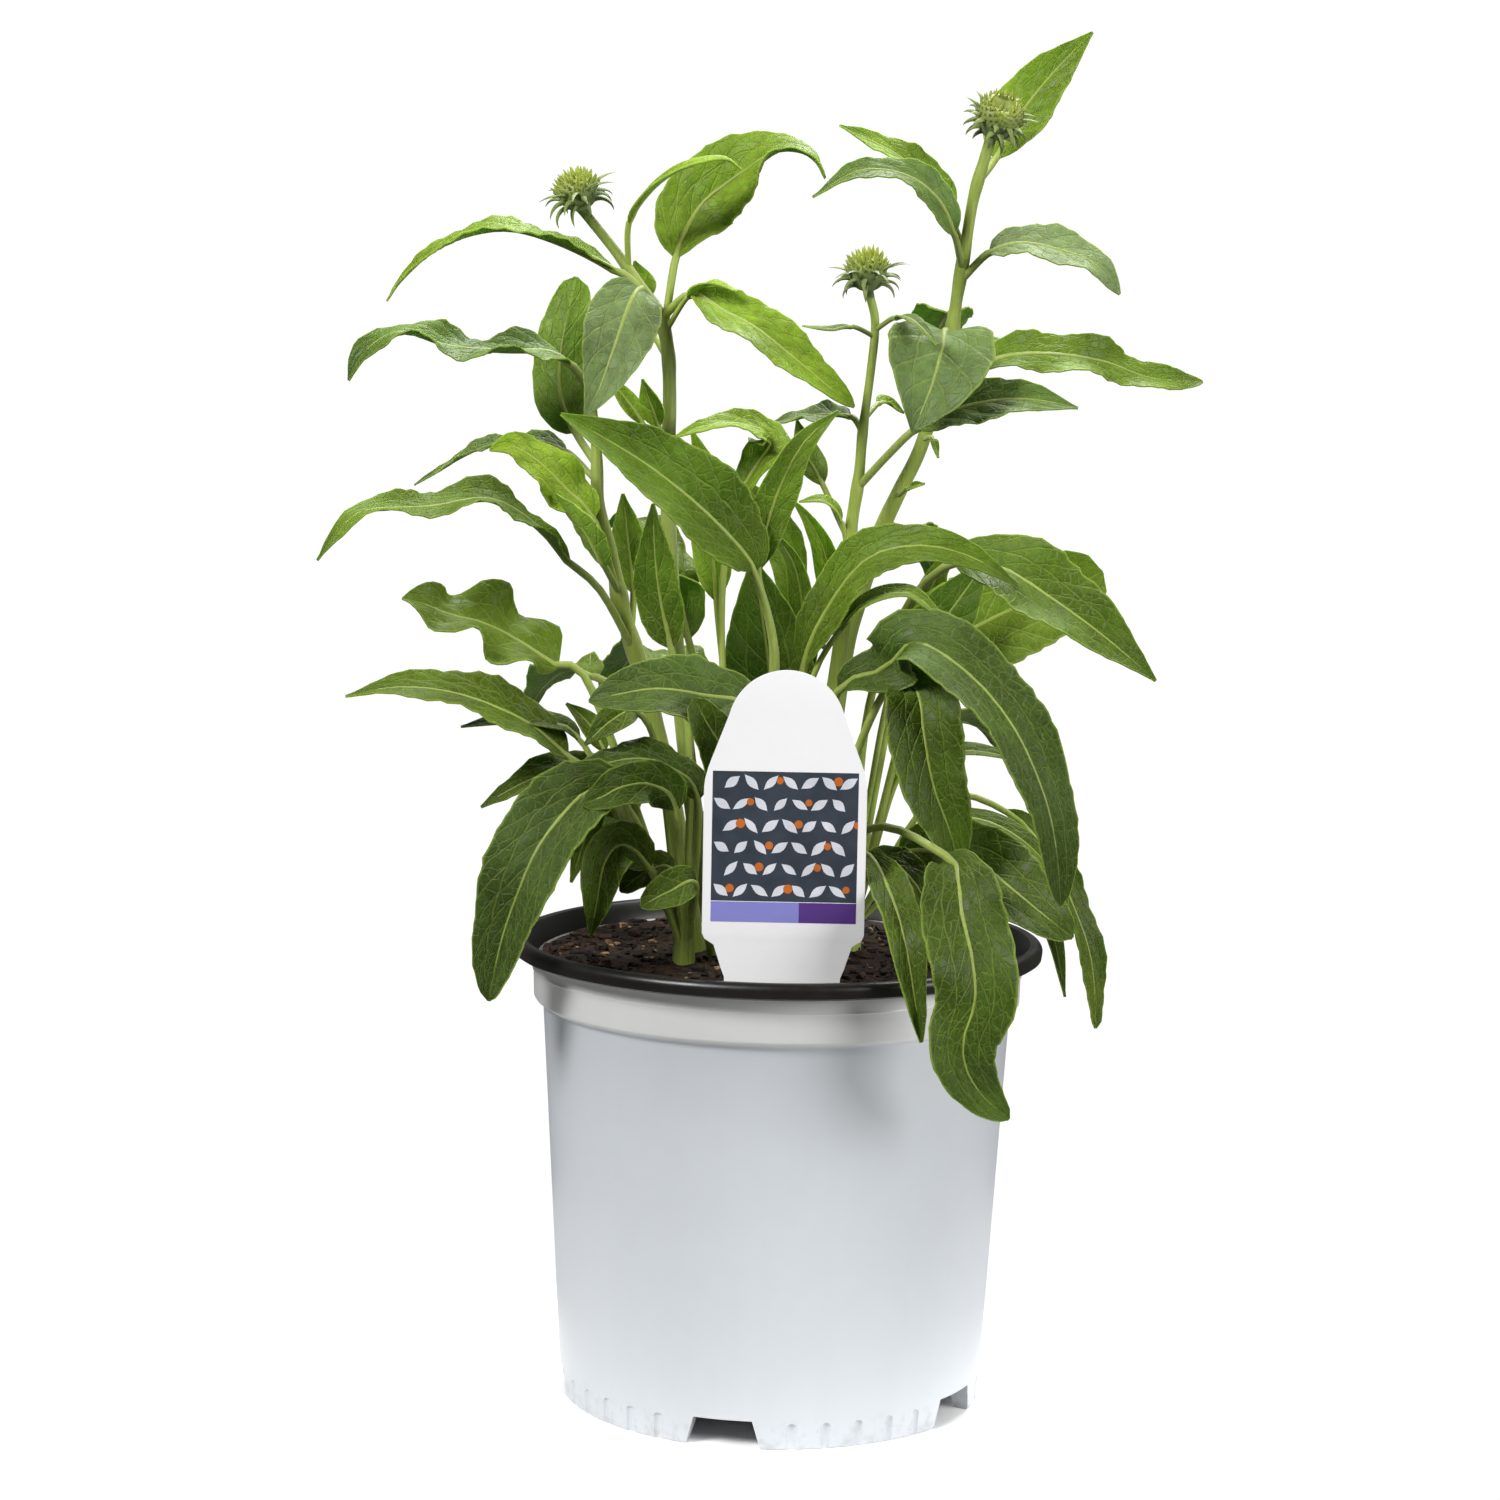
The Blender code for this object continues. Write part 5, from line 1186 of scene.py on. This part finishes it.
def add_bud(name, bud, finish):
    """A low dome packed with florets over rings of bracts that curl outwards and down."""
    draw = random.Random(name)
    middle = NECK + bud.height * MM * 0.42
    seat, along = bud_frame(bud)
    pieces = [add_core(bud, middle), add_neck(bud, along)]
    pieces += scatter_florets(bud, middle, draw)
    pieces += scatter_bracts(bud, middle, draw)
    obj = join(name + "_bloom", pieces)
    obj.data.transform(seat)
    settle(obj)
    smooth(obj, 45)
    coat(obj, finish)
    dress(obj, "bud_green", name)


# --- pot


def wall_radius(height):
    return BASE_RADIUS + (WALL_TOP_RADIUS - BASE_RADIUS) * height / COLLAR_BOTTOM


def pot_profile():
    """Half section from the foot up the outside, over the rolled rim and down the inside."""
    rim_foot = RIM_TOP - RIM_HEIGHT
    roll = [(RIM_RADIUS - RIM_ROLL + RIM_ROLL * math.sin(a),
             RIM_TOP - RIM_ROLL + RIM_ROLL * math.cos(a))
            for a in np.radians(np.linspace(100, -20, 9))]
    outside = [
        (BASE_RADIUS - FOOT_WIDTH, 0), (BASE_RADIUS - 0.0009, 0), (BASE_RADIUS - 0.0002, 0.0003),
        (BASE_RADIUS, 0.0011), (wall_radius(0.012), 0.012), (wall_radius(0.05), 0.05),
        (wall_radius(0.09), 0.09), (wall_radius(COLLAR_BOTTOM), COLLAR_BOTTOM - 0.0010),
        (wall_radius(COLLAR_BOTTOM) + 0.0004, COLLAR_BOTTOM - 0.0004),
        (COLLAR_RADIUS - 0.0005, COLLAR_BOTTOM + 0.0008), (COLLAR_RADIUS, COLLAR_BOTTOM + 0.0016),
        (COLLAR_RADIUS + 0.0002, COLLAR_RIDGE - 0.0008), (COLLAR_RADIUS + 0.0006, COLLAR_RIDGE),
        (COLLAR_RADIUS + 0.0004, COLLAR_RIDGE + 0.0008),
        (COLLAR_RADIUS + 0.0012, rim_foot - 0.0006), (COLLAR_RADIUS + 0.0018, rim_foot),
    ]
    rim = [(RIM_RADIUS - 0.0012, rim_foot), (RIM_RADIUS - 0.0003, rim_foot + 0.0006)] + roll
    inside = [
        (RIM_INNER_RADIUS + 0.0012, RIM_TOP - 0.0002),
        (RIM_INNER_RADIUS + 0.0004, RIM_TOP - 0.0009), (COLLAR_RADIUS - 0.0010, rim_foot - 0.0010),
        (COLLAR_RADIUS - WALL, COLLAR_BOTTOM + 0.0030),
        (wall_radius(COLLAR_BOTTOM) - WALL, COLLAR_BOTTOM),
        (wall_radius(FLOOR_HEIGHT) - WALL, FLOOR_HEIGHT),
        (0.03, FLOOR_HEIGHT), (0.002, FLOOR_HEIGHT),
    ]
    under = [
        (0.002, FLOOR_HEIGHT - FLOOR_THICKNESS), (0.03, FLOOR_HEIGHT - FLOOR_THICKNESS),
        (BASE_RADIUS - FOOT_WIDTH - 0.0010, FLOOR_HEIGHT - FLOOR_THICKNESS),
    ]
    return outside, rim, inside, under


def turn_up(profile, sides):
    """A shell turned from a section: a circle extruded and scaled from point to point."""
    radius, height = profile[0]
    obj = add(bpy.ops.mesh.primitive_circle_add, vertices=sides, radius=radius,
              location=(0, 0, height))
    settle(obj)
    with editing(obj):
        for (r0, z0), (r1, z1) in zip(profile, profile[1:]):
            bpy.ops.mesh.extrude_region_move(TRANSFORM_OT_translate={"value": (0, 0, z1 - z0)})
            bpy.ops.transform.resize(value=(r1 / r0, r1 / r0, 1), center_override=(0, 0, z1))
    return obj


def close_ring(obj, sides):
    """Bridge the section's last ring to its first."""
    last = len(obj.data.vertices) - sides
    for v in obj.data.vertices:
        v.select = v.index < sides or v.index >= last
    for e in obj.data.edges:
        e.select = max(e.vertices) < sides or min(e.vertices) >= last
    for f in obj.data.polygons:
        f.select = False
    bpy.ops.object.mode_set(mode="EDIT")
    bpy.ops.mesh.bridge_edge_loops()
    bpy.ops.object.mode_set(mode="OBJECT")


def add_cutters():
    """The drain notches and the shallow flutes round the pot's foot."""
    cutters = []
    bay = 360 / DRAIN_COUNT
    first = (bay - (FLUTES_PER_BAY - 1) * FLUTE_PITCH) / 2
    reach = BASE_RADIUS + FLUTE_RADIUS - FLUTE_DEPTH
    for i in range(DRAIN_COUNT):
        block = add(bpy.ops.mesh.primitive_cube_add, size=1)
        x, y, z = points_of(block).T
        wide = np.where(z < 0, DRAIN_FOOT_WIDTH, DRAIN_TOP_WIDTH)
        place_points(block, np.stack([BASE_RADIUS - FOOT_WIDTH / 2 + x * DRAIN_DEPTH, y * wide,
                                      np.where(z < 0, -0.002, DRAIN_HEIGHT)], axis=-1))
        block.data.transform(Matrix.Rotation(math.radians(DRAIN_START + i * bay), 4, "Z"))
        cutters.append(block)
        for j in range(FLUTES_PER_BAY):
            around = math.radians(DRAIN_START + i * bay + first + j * FLUTE_PITCH)
            flute = add(bpy.ops.mesh.primitive_uv_sphere_add, segments=16, ring_count=8,
                        radius=FLUTE_RADIUS)
            ball = points_of(flute)
            ball[:, 2] = np.where(ball[:, 2] > TOUCHING,
                                  ball[:, 2] + FLUTE_HEIGHT - FLUTE_RADIUS, -0.001)
            place_points(flute, ball + (reach * math.cos(around), reach * math.sin(around), 0))
            cutters.append(flute)
    return cutters


def is_dark(face):
    """Whether a face is on the rim or the inside, which are of the dark plastic."""
    x, y, z = face.center
    radius = math.hypot(x, y)
    rim = z > RIM_TOP - RIM_HEIGHT - 0.00005 and radius > COLLAR_RADIUS - 0.0026
    inside = z > FLOOR_HEIGHT - 0.0001 and radius < wall_radius(min(z, COLLAR_BOTTOM)) - 0.0010
    return rim or inside or z > RIM_TOP - 0.0055


def build_pot(looks):
    outside, rim, inside, under = pot_profile()
    profile = [(r * looks.rim_radius / RIM_RADIUS, z) for r, z in outside + rim + inside + under]
    pot = turn_up(profile, POT_SIDES)
    close_ring(pot, POT_SIDES)
    weld(pot)
    coat(pot, wall_finish(looks), plastic_finish("pot_rim", looks.rim_colour, 0.36, 0.10))
    for face in pot.data.polygons:
        face.material_index = int(is_dark(face))
    for cutter in add_cutters():
        apply_modifier(pot, "BOOLEAN", operation="DIFFERENCE", solver="EXACT", object=cutter)
        bpy.data.objects.remove(cutter)
    rename(pot, "nursery_pot")
    smooth(pot, 32)
    dress(pot, "white_plastic", "pot")


# --- soil


def soil_height(x, y):
    """The CAD soil's low mound, with finer lumps on it."""
    radius = math.hypot(x, y)
    lumps = noise.fractal(Vector((x * 95, y * 95, 0.3)), 0.9, 2.1, 4)
    return SOIL_TOP + SOIL_MOUND * (1 - (radius / RIM_INNER_RADIUS) ** 2) + SOIL_LUMPS * lumps


def build_bed(looks):
    """A disc inset ring by ring, lifted to the mound's height, with its sides down in the pot."""
    soil = add(bpy.ops.mesh.primitive_circle_add, vertices=SOIL_SIDES, radius=SOIL_EDGE,
               location=(0, 0, SOIL_TOP - SOIL_DEPTH), fill_type="NGON")
    settle(soil)
    with editing(soil):
        bpy.ops.mesh.extrude_region_move(TRANSFORM_OT_translate={"value": (0, 0, SOIL_DEPTH)})
        for _ in range(SOIL_RINGS - 1):
            bpy.ops.mesh.inset(thickness=SOIL_EDGE / SOIL_RINGS * 0.985)
        bpy.ops.mesh.poke()
    points = points_of(soil)
    for point in points:
        if point[2] > SOIL_TOP - 0.0001:
            point[2] = soil_height(point[0], point[1])
    place_points(soil, points)
    weld(soil)
    rename(soil, "soil_bed")
    smooth(soil, 60)
    coat(soil, soil_finish(looks))
    dress(soil, "potting_soil", "soil")


def build_chips(looks):
    """One rounded lump, copied, pushed out of shape and scattered over the bed."""
    model = add(bpy.ops.mesh.primitive_cube_add, size=1)
    with editing(model):
        bpy.ops.mesh.subdivide(number_cuts=1, smoothness=0.4)
    draw = random.Random("bark")
    chips = []
    for _ in range(looks.chips):
        radius, spin = (SOIL_EDGE - 0.003) * math.sqrt(draw.random()), draw.uniform(0, 2 * math.pi)
        x, y = radius * math.cos(spin), radius * math.sin(spin)
        length = MM * draw.choice(CHIP_LENGTHS)
        chip = copy_of(model)
        for v in chip.data.vertices:
            v.co *= draw.uniform(0.75, 1.2)
        turn = (Matrix.Rotation(draw.uniform(0, 6.3), 4, "Z")
                @ Matrix.Rotation(draw.uniform(-0.6, 0.6), 4, "X"))
        size = Matrix.Diagonal((length, length * draw.uniform(0.35, 0.8),
                                length * draw.uniform(0.2, 0.5), 1))
        place = Matrix.Translation((x, y, soil_height(x, y) + 0.0004)) @ turn
        chip.data.transform(place @ size)
        paint(chip, "pale", draw.random())
        chips.append(chip)
    bpy.data.objects.remove(model)
    bark = join("bark_chips", chips)
    settle(bark)
    coat(bark, chip_finish(looks))
    dress(bark, "potting_soil")


# --- label


def label_outline():
    """Half outline of the label, from the top of its arch down to its point."""
    half, stake = LABEL_WIDTH / 2, LABEL_STAKE_WIDTH / 2
    centre = LABEL_TOP - LABEL_ARCH_RADIUS
    arch = [(LABEL_ARCH_RADIUS * math.sin(a), centre + LABEL_ARCH_RADIUS * math.cos(a))
            for a in np.radians(np.arange(0, 78, 4))]
    shoulder = [
        (half - 0.0012, LABEL_SHOULDER_TOP + 0.006), (half - 0.0003, LABEL_SHOULDER_TOP + 0.0025),
        (half, LABEL_SHOULDER_TOP), (half, LABEL_SHOULDER_BOTTOM),
        (half - 0.0008, LABEL_SHOULDER_BOTTOM - 0.0018),
        (half - 0.0035, LABEL_SHOULDER_BOTTOM - 0.0035),
        (stake + 0.0010, LABEL_SHOULDER_BOTTOM - 0.0105), (stake, LABEL_SHOULDER_BOTTOM - 0.013),
        (stake, LABEL_POINT + 0.016),
    ]
    return arch + shoulder + [(0, LABEL_POINT)]


def add_sheet(name, outline, front, thickness, rounding=0.0):
    """A flat sheet of an outline, upright and facing -Y, with its front at the given place."""
    sheet = mesh_of_curve(bpy.ops.curve.primitive_bezier_circle_add,
                          [(x, z, 0) for x, z in outline], dimensions="2D", fill_mode="BOTH",
                          extrude=thickness / 2 - rounding, bevel_depth=rounding,
                          offset=-rounding)
    sheet.data.transform(Matrix.Translation((0, front + thickness / 2, 0))
                         @ Matrix.Rotation(math.pi / 2, 4, "X"))
    weld(sheet)
    return rename(sheet, name)


def within(box, shape):
    """A shape cut off at the edges of a box."""
    left, right, low, high = box
    return [(min(max(x, left), right), min(max(z, low), high)) for x, z in shape]


def print_motifs(looks, box, front):
    """Rows of leaning pale ovals with orange rounds beside some of them."""
    left, right, low, high = box
    draw = random.Random("label picture")
    ovals, rounds = [], []
    ring = np.radians(np.arange(0, 360, 20))
    for row in range(MOTIF_ROWS):
        for column in range(MOTIF_COLUMNS):
            x = left + (right - left) * (column + 0.5 + 0.5 * (row % 2)) / (MOTIF_COLUMNS + 0.5)
            z = low + (high - low) * (row + 0.5) / MOTIF_ROWS
            lean = (0.7 if (row + column) % 2 else -0.7) + draw.uniform(-0.15, 0.15)
            long, wide = draw.uniform(0.0026, 0.0032), draw.uniform(0.0011, 0.0014)
            along, aside = long * np.cos(ring), wide * np.sin(ring) ** 3
            oval = zip(x + along * math.cos(lean) - aside * math.sin(lean),
                       z + along * math.sin(lean) + aside * math.cos(lean))
            ovals.append(add_sheet("oval", within(box, oval), front - MOTIF, MOTIF))
            if (row * 2 + column) % 3 == 0:
                spot = draw.uniform(0.0010, 0.0014)
                dot = zip(x + 0.0026 + spot * np.cos(ring), z + 0.0006 + spot * np.sin(ring))
                rounds.append(add_sheet("round", within(box, dot), front - 2 * MOTIF, MOTIF))
    for name, shapes, colour in (("label_ovals", ovals, looks.petal_colour),
                                 ("label_rounds", rounds, looks.dot_colour)):
        motif = join(name, shapes)
        coat(motif, plastic_finish(name, colour, 0.35, 0.30))
        dress(motif, "white_label")


def build_label(looks):
    centre = (LABEL_LOW[0] + LABEL_HIGH[0]) / 2
    front = LABEL_LOW[1]
    half = label_outline()
    outline = half + [(-x, z) for x, z in reversed(half[1:-1])]
    card = add_sheet("label_card", outline, front, LABEL_THICKNESS, 0.0001)
    card.data.transform(Matrix.Translation((centre, 0, 0)))
    smooth(card, 30)
    coat(card, plastic_finish("label_card", looks.card_colour, 0.35, 0.02))
    dress(card, "white_label", "plant_label")
    width, low, high = PICTURE_BOX
    left, right, middle = centre - width / 2, centre + width / 2, centre + STRIP_SPLIT
    plates = (
        ("label_picture", (left, right, low, high), looks.ground_colour, 0.35),
        ("label_light_strip", (left, middle, *STRIP_BOX), looks.light_strip, 0.03),
        ("label_dark_strip", (middle, right, *STRIP_BOX), looks.dark_strip, 0.03),
    )
    for name, (x0, x1, z0, z1), colour, amount in plates:
        plate = add_sheet(name, [(x0, z0), (x1, z0), (x1, z1), (x0, z1)], front - PLATE, PLATE)
        coat(plate, plastic_finish(name, colour, 0.35, amount))
        dress(plate, "white_label")
    print_motifs(looks, (left, right, low, high), front - PLATE)


# --- studio

# the camera's place in metres, its frame and focus in pixels, its sensor in mm, and its turns
CAMERA_BACK = 1.053
CAMERA_HEIGHT = 0.327
CAMERA_FOCUS = 3420.0
CAMERA_FRAME = 1500.0
CAMERA_SENSOR = 36
CAMERA_PITCH = 0.1180
CAMERA_ROLL = 0.0183
CAMERA_YAW = -0.0092

# each soft light's place, the height that it is aimed at, and its width
LIGHTS = {
    "key_light": ((-1.1, -1.1, 1.4), 0.22, 0.7),
    "fill_light": ((1.45, -0.85, 0.7), 0.20, 0.9),
    "back_light": ((0.3, 0.8, 1.8), 0.28, 1.2),
}
BACKDROP_GLOW = 1.05

# how far from the pot's middle the floor starts to glow, and from where it fades to plain white
GLOW_EDGE = (0.052, 0.070)
FADE_START = 0.068


def build_camera():
    pitch, yaw = CAMERA_PITCH, CAMERA_YAW
    ahead = Vector((math.sin(yaw) * math.cos(pitch), math.cos(yaw) * math.cos(pitch),
                    -math.sin(pitch)))
    right = Vector((math.cos(yaw), -math.sin(yaw), 0))
    up = right.cross(ahead)
    x = math.cos(CAMERA_ROLL) * right + math.sin(CAMERA_ROLL) * up
    y = -math.sin(CAMERA_ROLL) * right + math.cos(CAMERA_ROLL) * up
    place = Matrix((x, y, -ahead)).transposed().to_4x4()
    place.translation = (0, -CAMERA_BACK, CAMERA_HEIGHT)
    camera = add(bpy.ops.object.camera_add)
    camera.matrix_world = place
    camera.data.sensor_width = CAMERA_SENSOR
    camera.data.lens = CAMERA_FOCUS / CAMERA_FRAME * CAMERA_SENSOR
    camera.data.clip_start, camera.data.clip_end = 0.05, 50
    bpy.context.scene.camera = camera


def add_light(name, power):
    place, height, size = LIGHTS[name]
    light = add(bpy.ops.object.light_add, type="AREA", location=place)
    light.name = name
    light.data.shape, light.data.size, light.data.energy = "DISK", size, power
    aim = Vector((0, 0, height)) - Vector(place)
    light.rotation_euler = aim.to_track_quat("-Z", "Y").to_euler()


def floor_finish(looks):
    """A pale floor that takes the pot's shadow and fades to plain white away from it."""
    material, tree, shader = new_material("pale_floor", 0.9, Specular_IOR_Level=0,
                                          Emission_Color=(1, 1, 1, 1))
    reach = add_node(tree, "ShaderNodeVectorMath", {0: here(tree)}, operation="LENGTH")
    reach = reach.outputs["Value"]
    far = fade(tree, reach, FADE_START, looks.floor_radius * 0.55)
    put(tree, shader.inputs["Base Color"], mix(tree, far, looks.floor_colour, (0, 0, 0)))
    beneath = fade(tree, reach, *GLOW_EDGE)
    glow = times(tree, beneath, fade(tree, far, 0.0, 1.0, looks.floor_glow, BACKDROP_GLOW))
    seen = add_node(tree, "ShaderNodeLightPath").outputs["Is Camera Ray"]
    put(tree, shader.inputs["Emission Strength"],
        times(tree, glow, calc(tree, "MULTIPLY_ADD", seen, 0.3, 0.7)))
    return material


def build_surround(looks):
    """A white surround that lights the plant faintly and shows as plain white."""
    world = bpy.data.worlds.new("white_surround")
    world.use_nodes = True
    sky = world.node_tree
    light = sky.nodes["Background"]
    put(sky, light.inputs["Color"], (1, 1, 1))
    put(sky, light.inputs["Strength"], looks.surround)
    backdrop = add_node(sky, "ShaderNodeBackground",
                        {"Color": (1, 1, 1), "Strength": BACKDROP_GLOW})
    seen = add_node(sky, "ShaderNodeLightPath").outputs["Is Camera Ray"]
    either = add_node(sky, "ShaderNodeMixShader",
                      {0: seen, 1: light.outputs[0], 2: backdrop.outputs[0]})
    put(sky, sky.nodes["World Output"].inputs["Surface"], either.outputs[0])
    bpy.context.scene.world = world


def build_studio(looks):
    floor = add(bpy.ops.mesh.primitive_circle_add, vertices=96, radius=looks.floor_radius,
                fill_type="NGON")
    floor.name = "floor"
    coat(floor, floor_finish(looks))
    build_surround(looks)
    for name, power in zip(LIGHTS, (looks.key_power, looks.fill_power, looks.back_power)):
        add_light(name, power)
    bpy.context.scene.view_settings.view_transform = "Standard"
    build_camera()


# --- operators


class CONEFLOWER_OT_pot(bpy.types.Operator):
    """Turn the nursery pot, cut its drain notches and flutes, and finish it"""
    bl_idname = "coneflower.pot"
    bl_label = "Nursery Pot"

    def execute(self, context):
        build_pot(context.scene.coneflower_pot)
        return {"FINISHED"}


class CONEFLOWER_OT_soil(bpy.types.Operator):
    """Fill the pot with potting mix and scatter bark chips on it"""
    bl_idname = "coneflower.soil"
    bl_label = "Potting Mix"

    def execute(self, context):
        build_bed(context.scene.coneflower_soil)
        build_chips(context.scene.coneflower_soil)
        return {"FINISHED"}


class CONEFLOWER_OT_label(bpy.types.Operator):
    """Cut the stake label and lay its printed fields on it"""
    bl_idname = "coneflower.label"
    bl_label = "Stake Label"

    def execute(self, context):
        build_label(context.scene.coneflower_label)
        return {"FINISHED"}


class CONEFLOWER_OT_stalks(bpy.types.Operator):
    """Grow the stems, with the stalks of their leaves"""
    bl_idname = "coneflower.stalks"
    bl_label = "Stems and Stalks"

    def execute(self, context):
        finish = stalk_finish(context.scene.coneflower_plant)
        for name, stem in {**STEMS, **CROWNS}.items():
            tubes = [add_stem(name, stem)] if name in STEMS else []
            tubes += [add_leaf_stalk(leaf, stem.path) for leaf in stem.leaves]
            obj = join(name + "_stalks", tubes)
            settle(obj)
            smooth(obj, 60)
            coat(obj, finish)
            dress(obj, "stem_green", name)
        return {"FINISHED"}


class CONEFLOWER_OT_blades(bpy.types.Operator):
    """Lay the leaves' blades along their midribs"""
    bl_idname = "coneflower.blades"
    bl_label = "Leaf Blades"

    def execute(self, context):
        looks = context.scene.coneflower_plant
        finish = leaf_finish(looks)
        for name, stem in {**STEMS, **CROWNS}.items():
            blades = [add_blade(leaf, stem.path, looks) for leaf in stem.leaves]
            obj = join(name + "_blades", blades)
            settle(obj)
            coat(obj, finish)
            dress(obj, "leaf_green", name)
        return {"FINISHED"}


class CONEFLOWER_OT_buds(bpy.types.Operator):
    """Build the unopened flower heads on their stems"""
    bl_idname = "coneflower.buds"
    bl_label = "Flower Buds"

    def execute(self, context):
        finish = bud_finish(context.scene.coneflower_plant)
        for name, bud in BUDS.items():
            add_bud(name, bud, finish)
        return {"FINISHED"}


class CONEFLOWER_OT_studio(bpy.types.Operator):
    """Set up the pale floor, the soft lights and the camera"""
    bl_idname = "coneflower.studio"
    bl_label = "Studio"

    def execute(self, context):
        build_studio(context.scene.coneflower_studio)
        return {"FINISHED"}


OPERATORS = (CONEFLOWER_OT_pot, CONEFLOWER_OT_soil, CONEFLOWER_OT_label, CONEFLOWER_OT_stalks,
             CONEFLOWER_OT_blades, CONEFLOWER_OT_buds, CONEFLOWER_OT_studio)
LOOKS = {
    "coneflower_pot": PotLooks,
    "coneflower_soil": SoilLooks,
    "coneflower_label": LabelLooks,
    "coneflower_plant": PlantLooks,
    "coneflower_studio": StudioLooks,
}


class CONEFLOWER_PT_panel(bpy.types.Panel):
    """Lists the plant's pieces and their looks"""
    bl_idname = "CONEFLOWER_PT_panel"
    bl_label = "Potted Coneflower"
    bl_space_type = "VIEW_3D"
    bl_region_type = "UI"
    bl_category = "Coneflower"

    def draw(self, context):
        for operator in OPERATORS:
            self.layout.operator(operator.bl_idname)
        for name, group in LOOKS.items():
            box = self.layout.box()
            for prop in group.__annotations__:
                box.prop(getattr(context.scene, name), prop)


def register():
    for group in LOOKS.values():
        bpy.utils.register_class(group)
    for operator in OPERATORS:
        bpy.utils.register_class(operator)
    bpy.utils.register_class(CONEFLOWER_PT_panel)
    for name, group in LOOKS.items():
        setattr(bpy.types.Scene, name, bpy.props.PointerProperty(type=group))


def unregister():
    for name in LOOKS:
        delattr(bpy.types.Scene, name)
    bpy.utils.unregister_class(CONEFLOWER_PT_panel)
    for operator in reversed(OPERATORS):
        bpy.utils.unregister_class(operator)
    for group in reversed(LOOKS.values()):
        bpy.utils.unregister_class(group)


def main():
    register()
    deselect()
    bpy.ops.coneflower.pot()
    bpy.ops.coneflower.soil()
    bpy.ops.coneflower.label()
    bpy.ops.coneflower.stalks()
    bpy.ops.coneflower.blades()
    bpy.ops.coneflower.buds()
    bpy.ops.coneflower.studio()
    deselect()


if __name__ == "__main__":
    main()
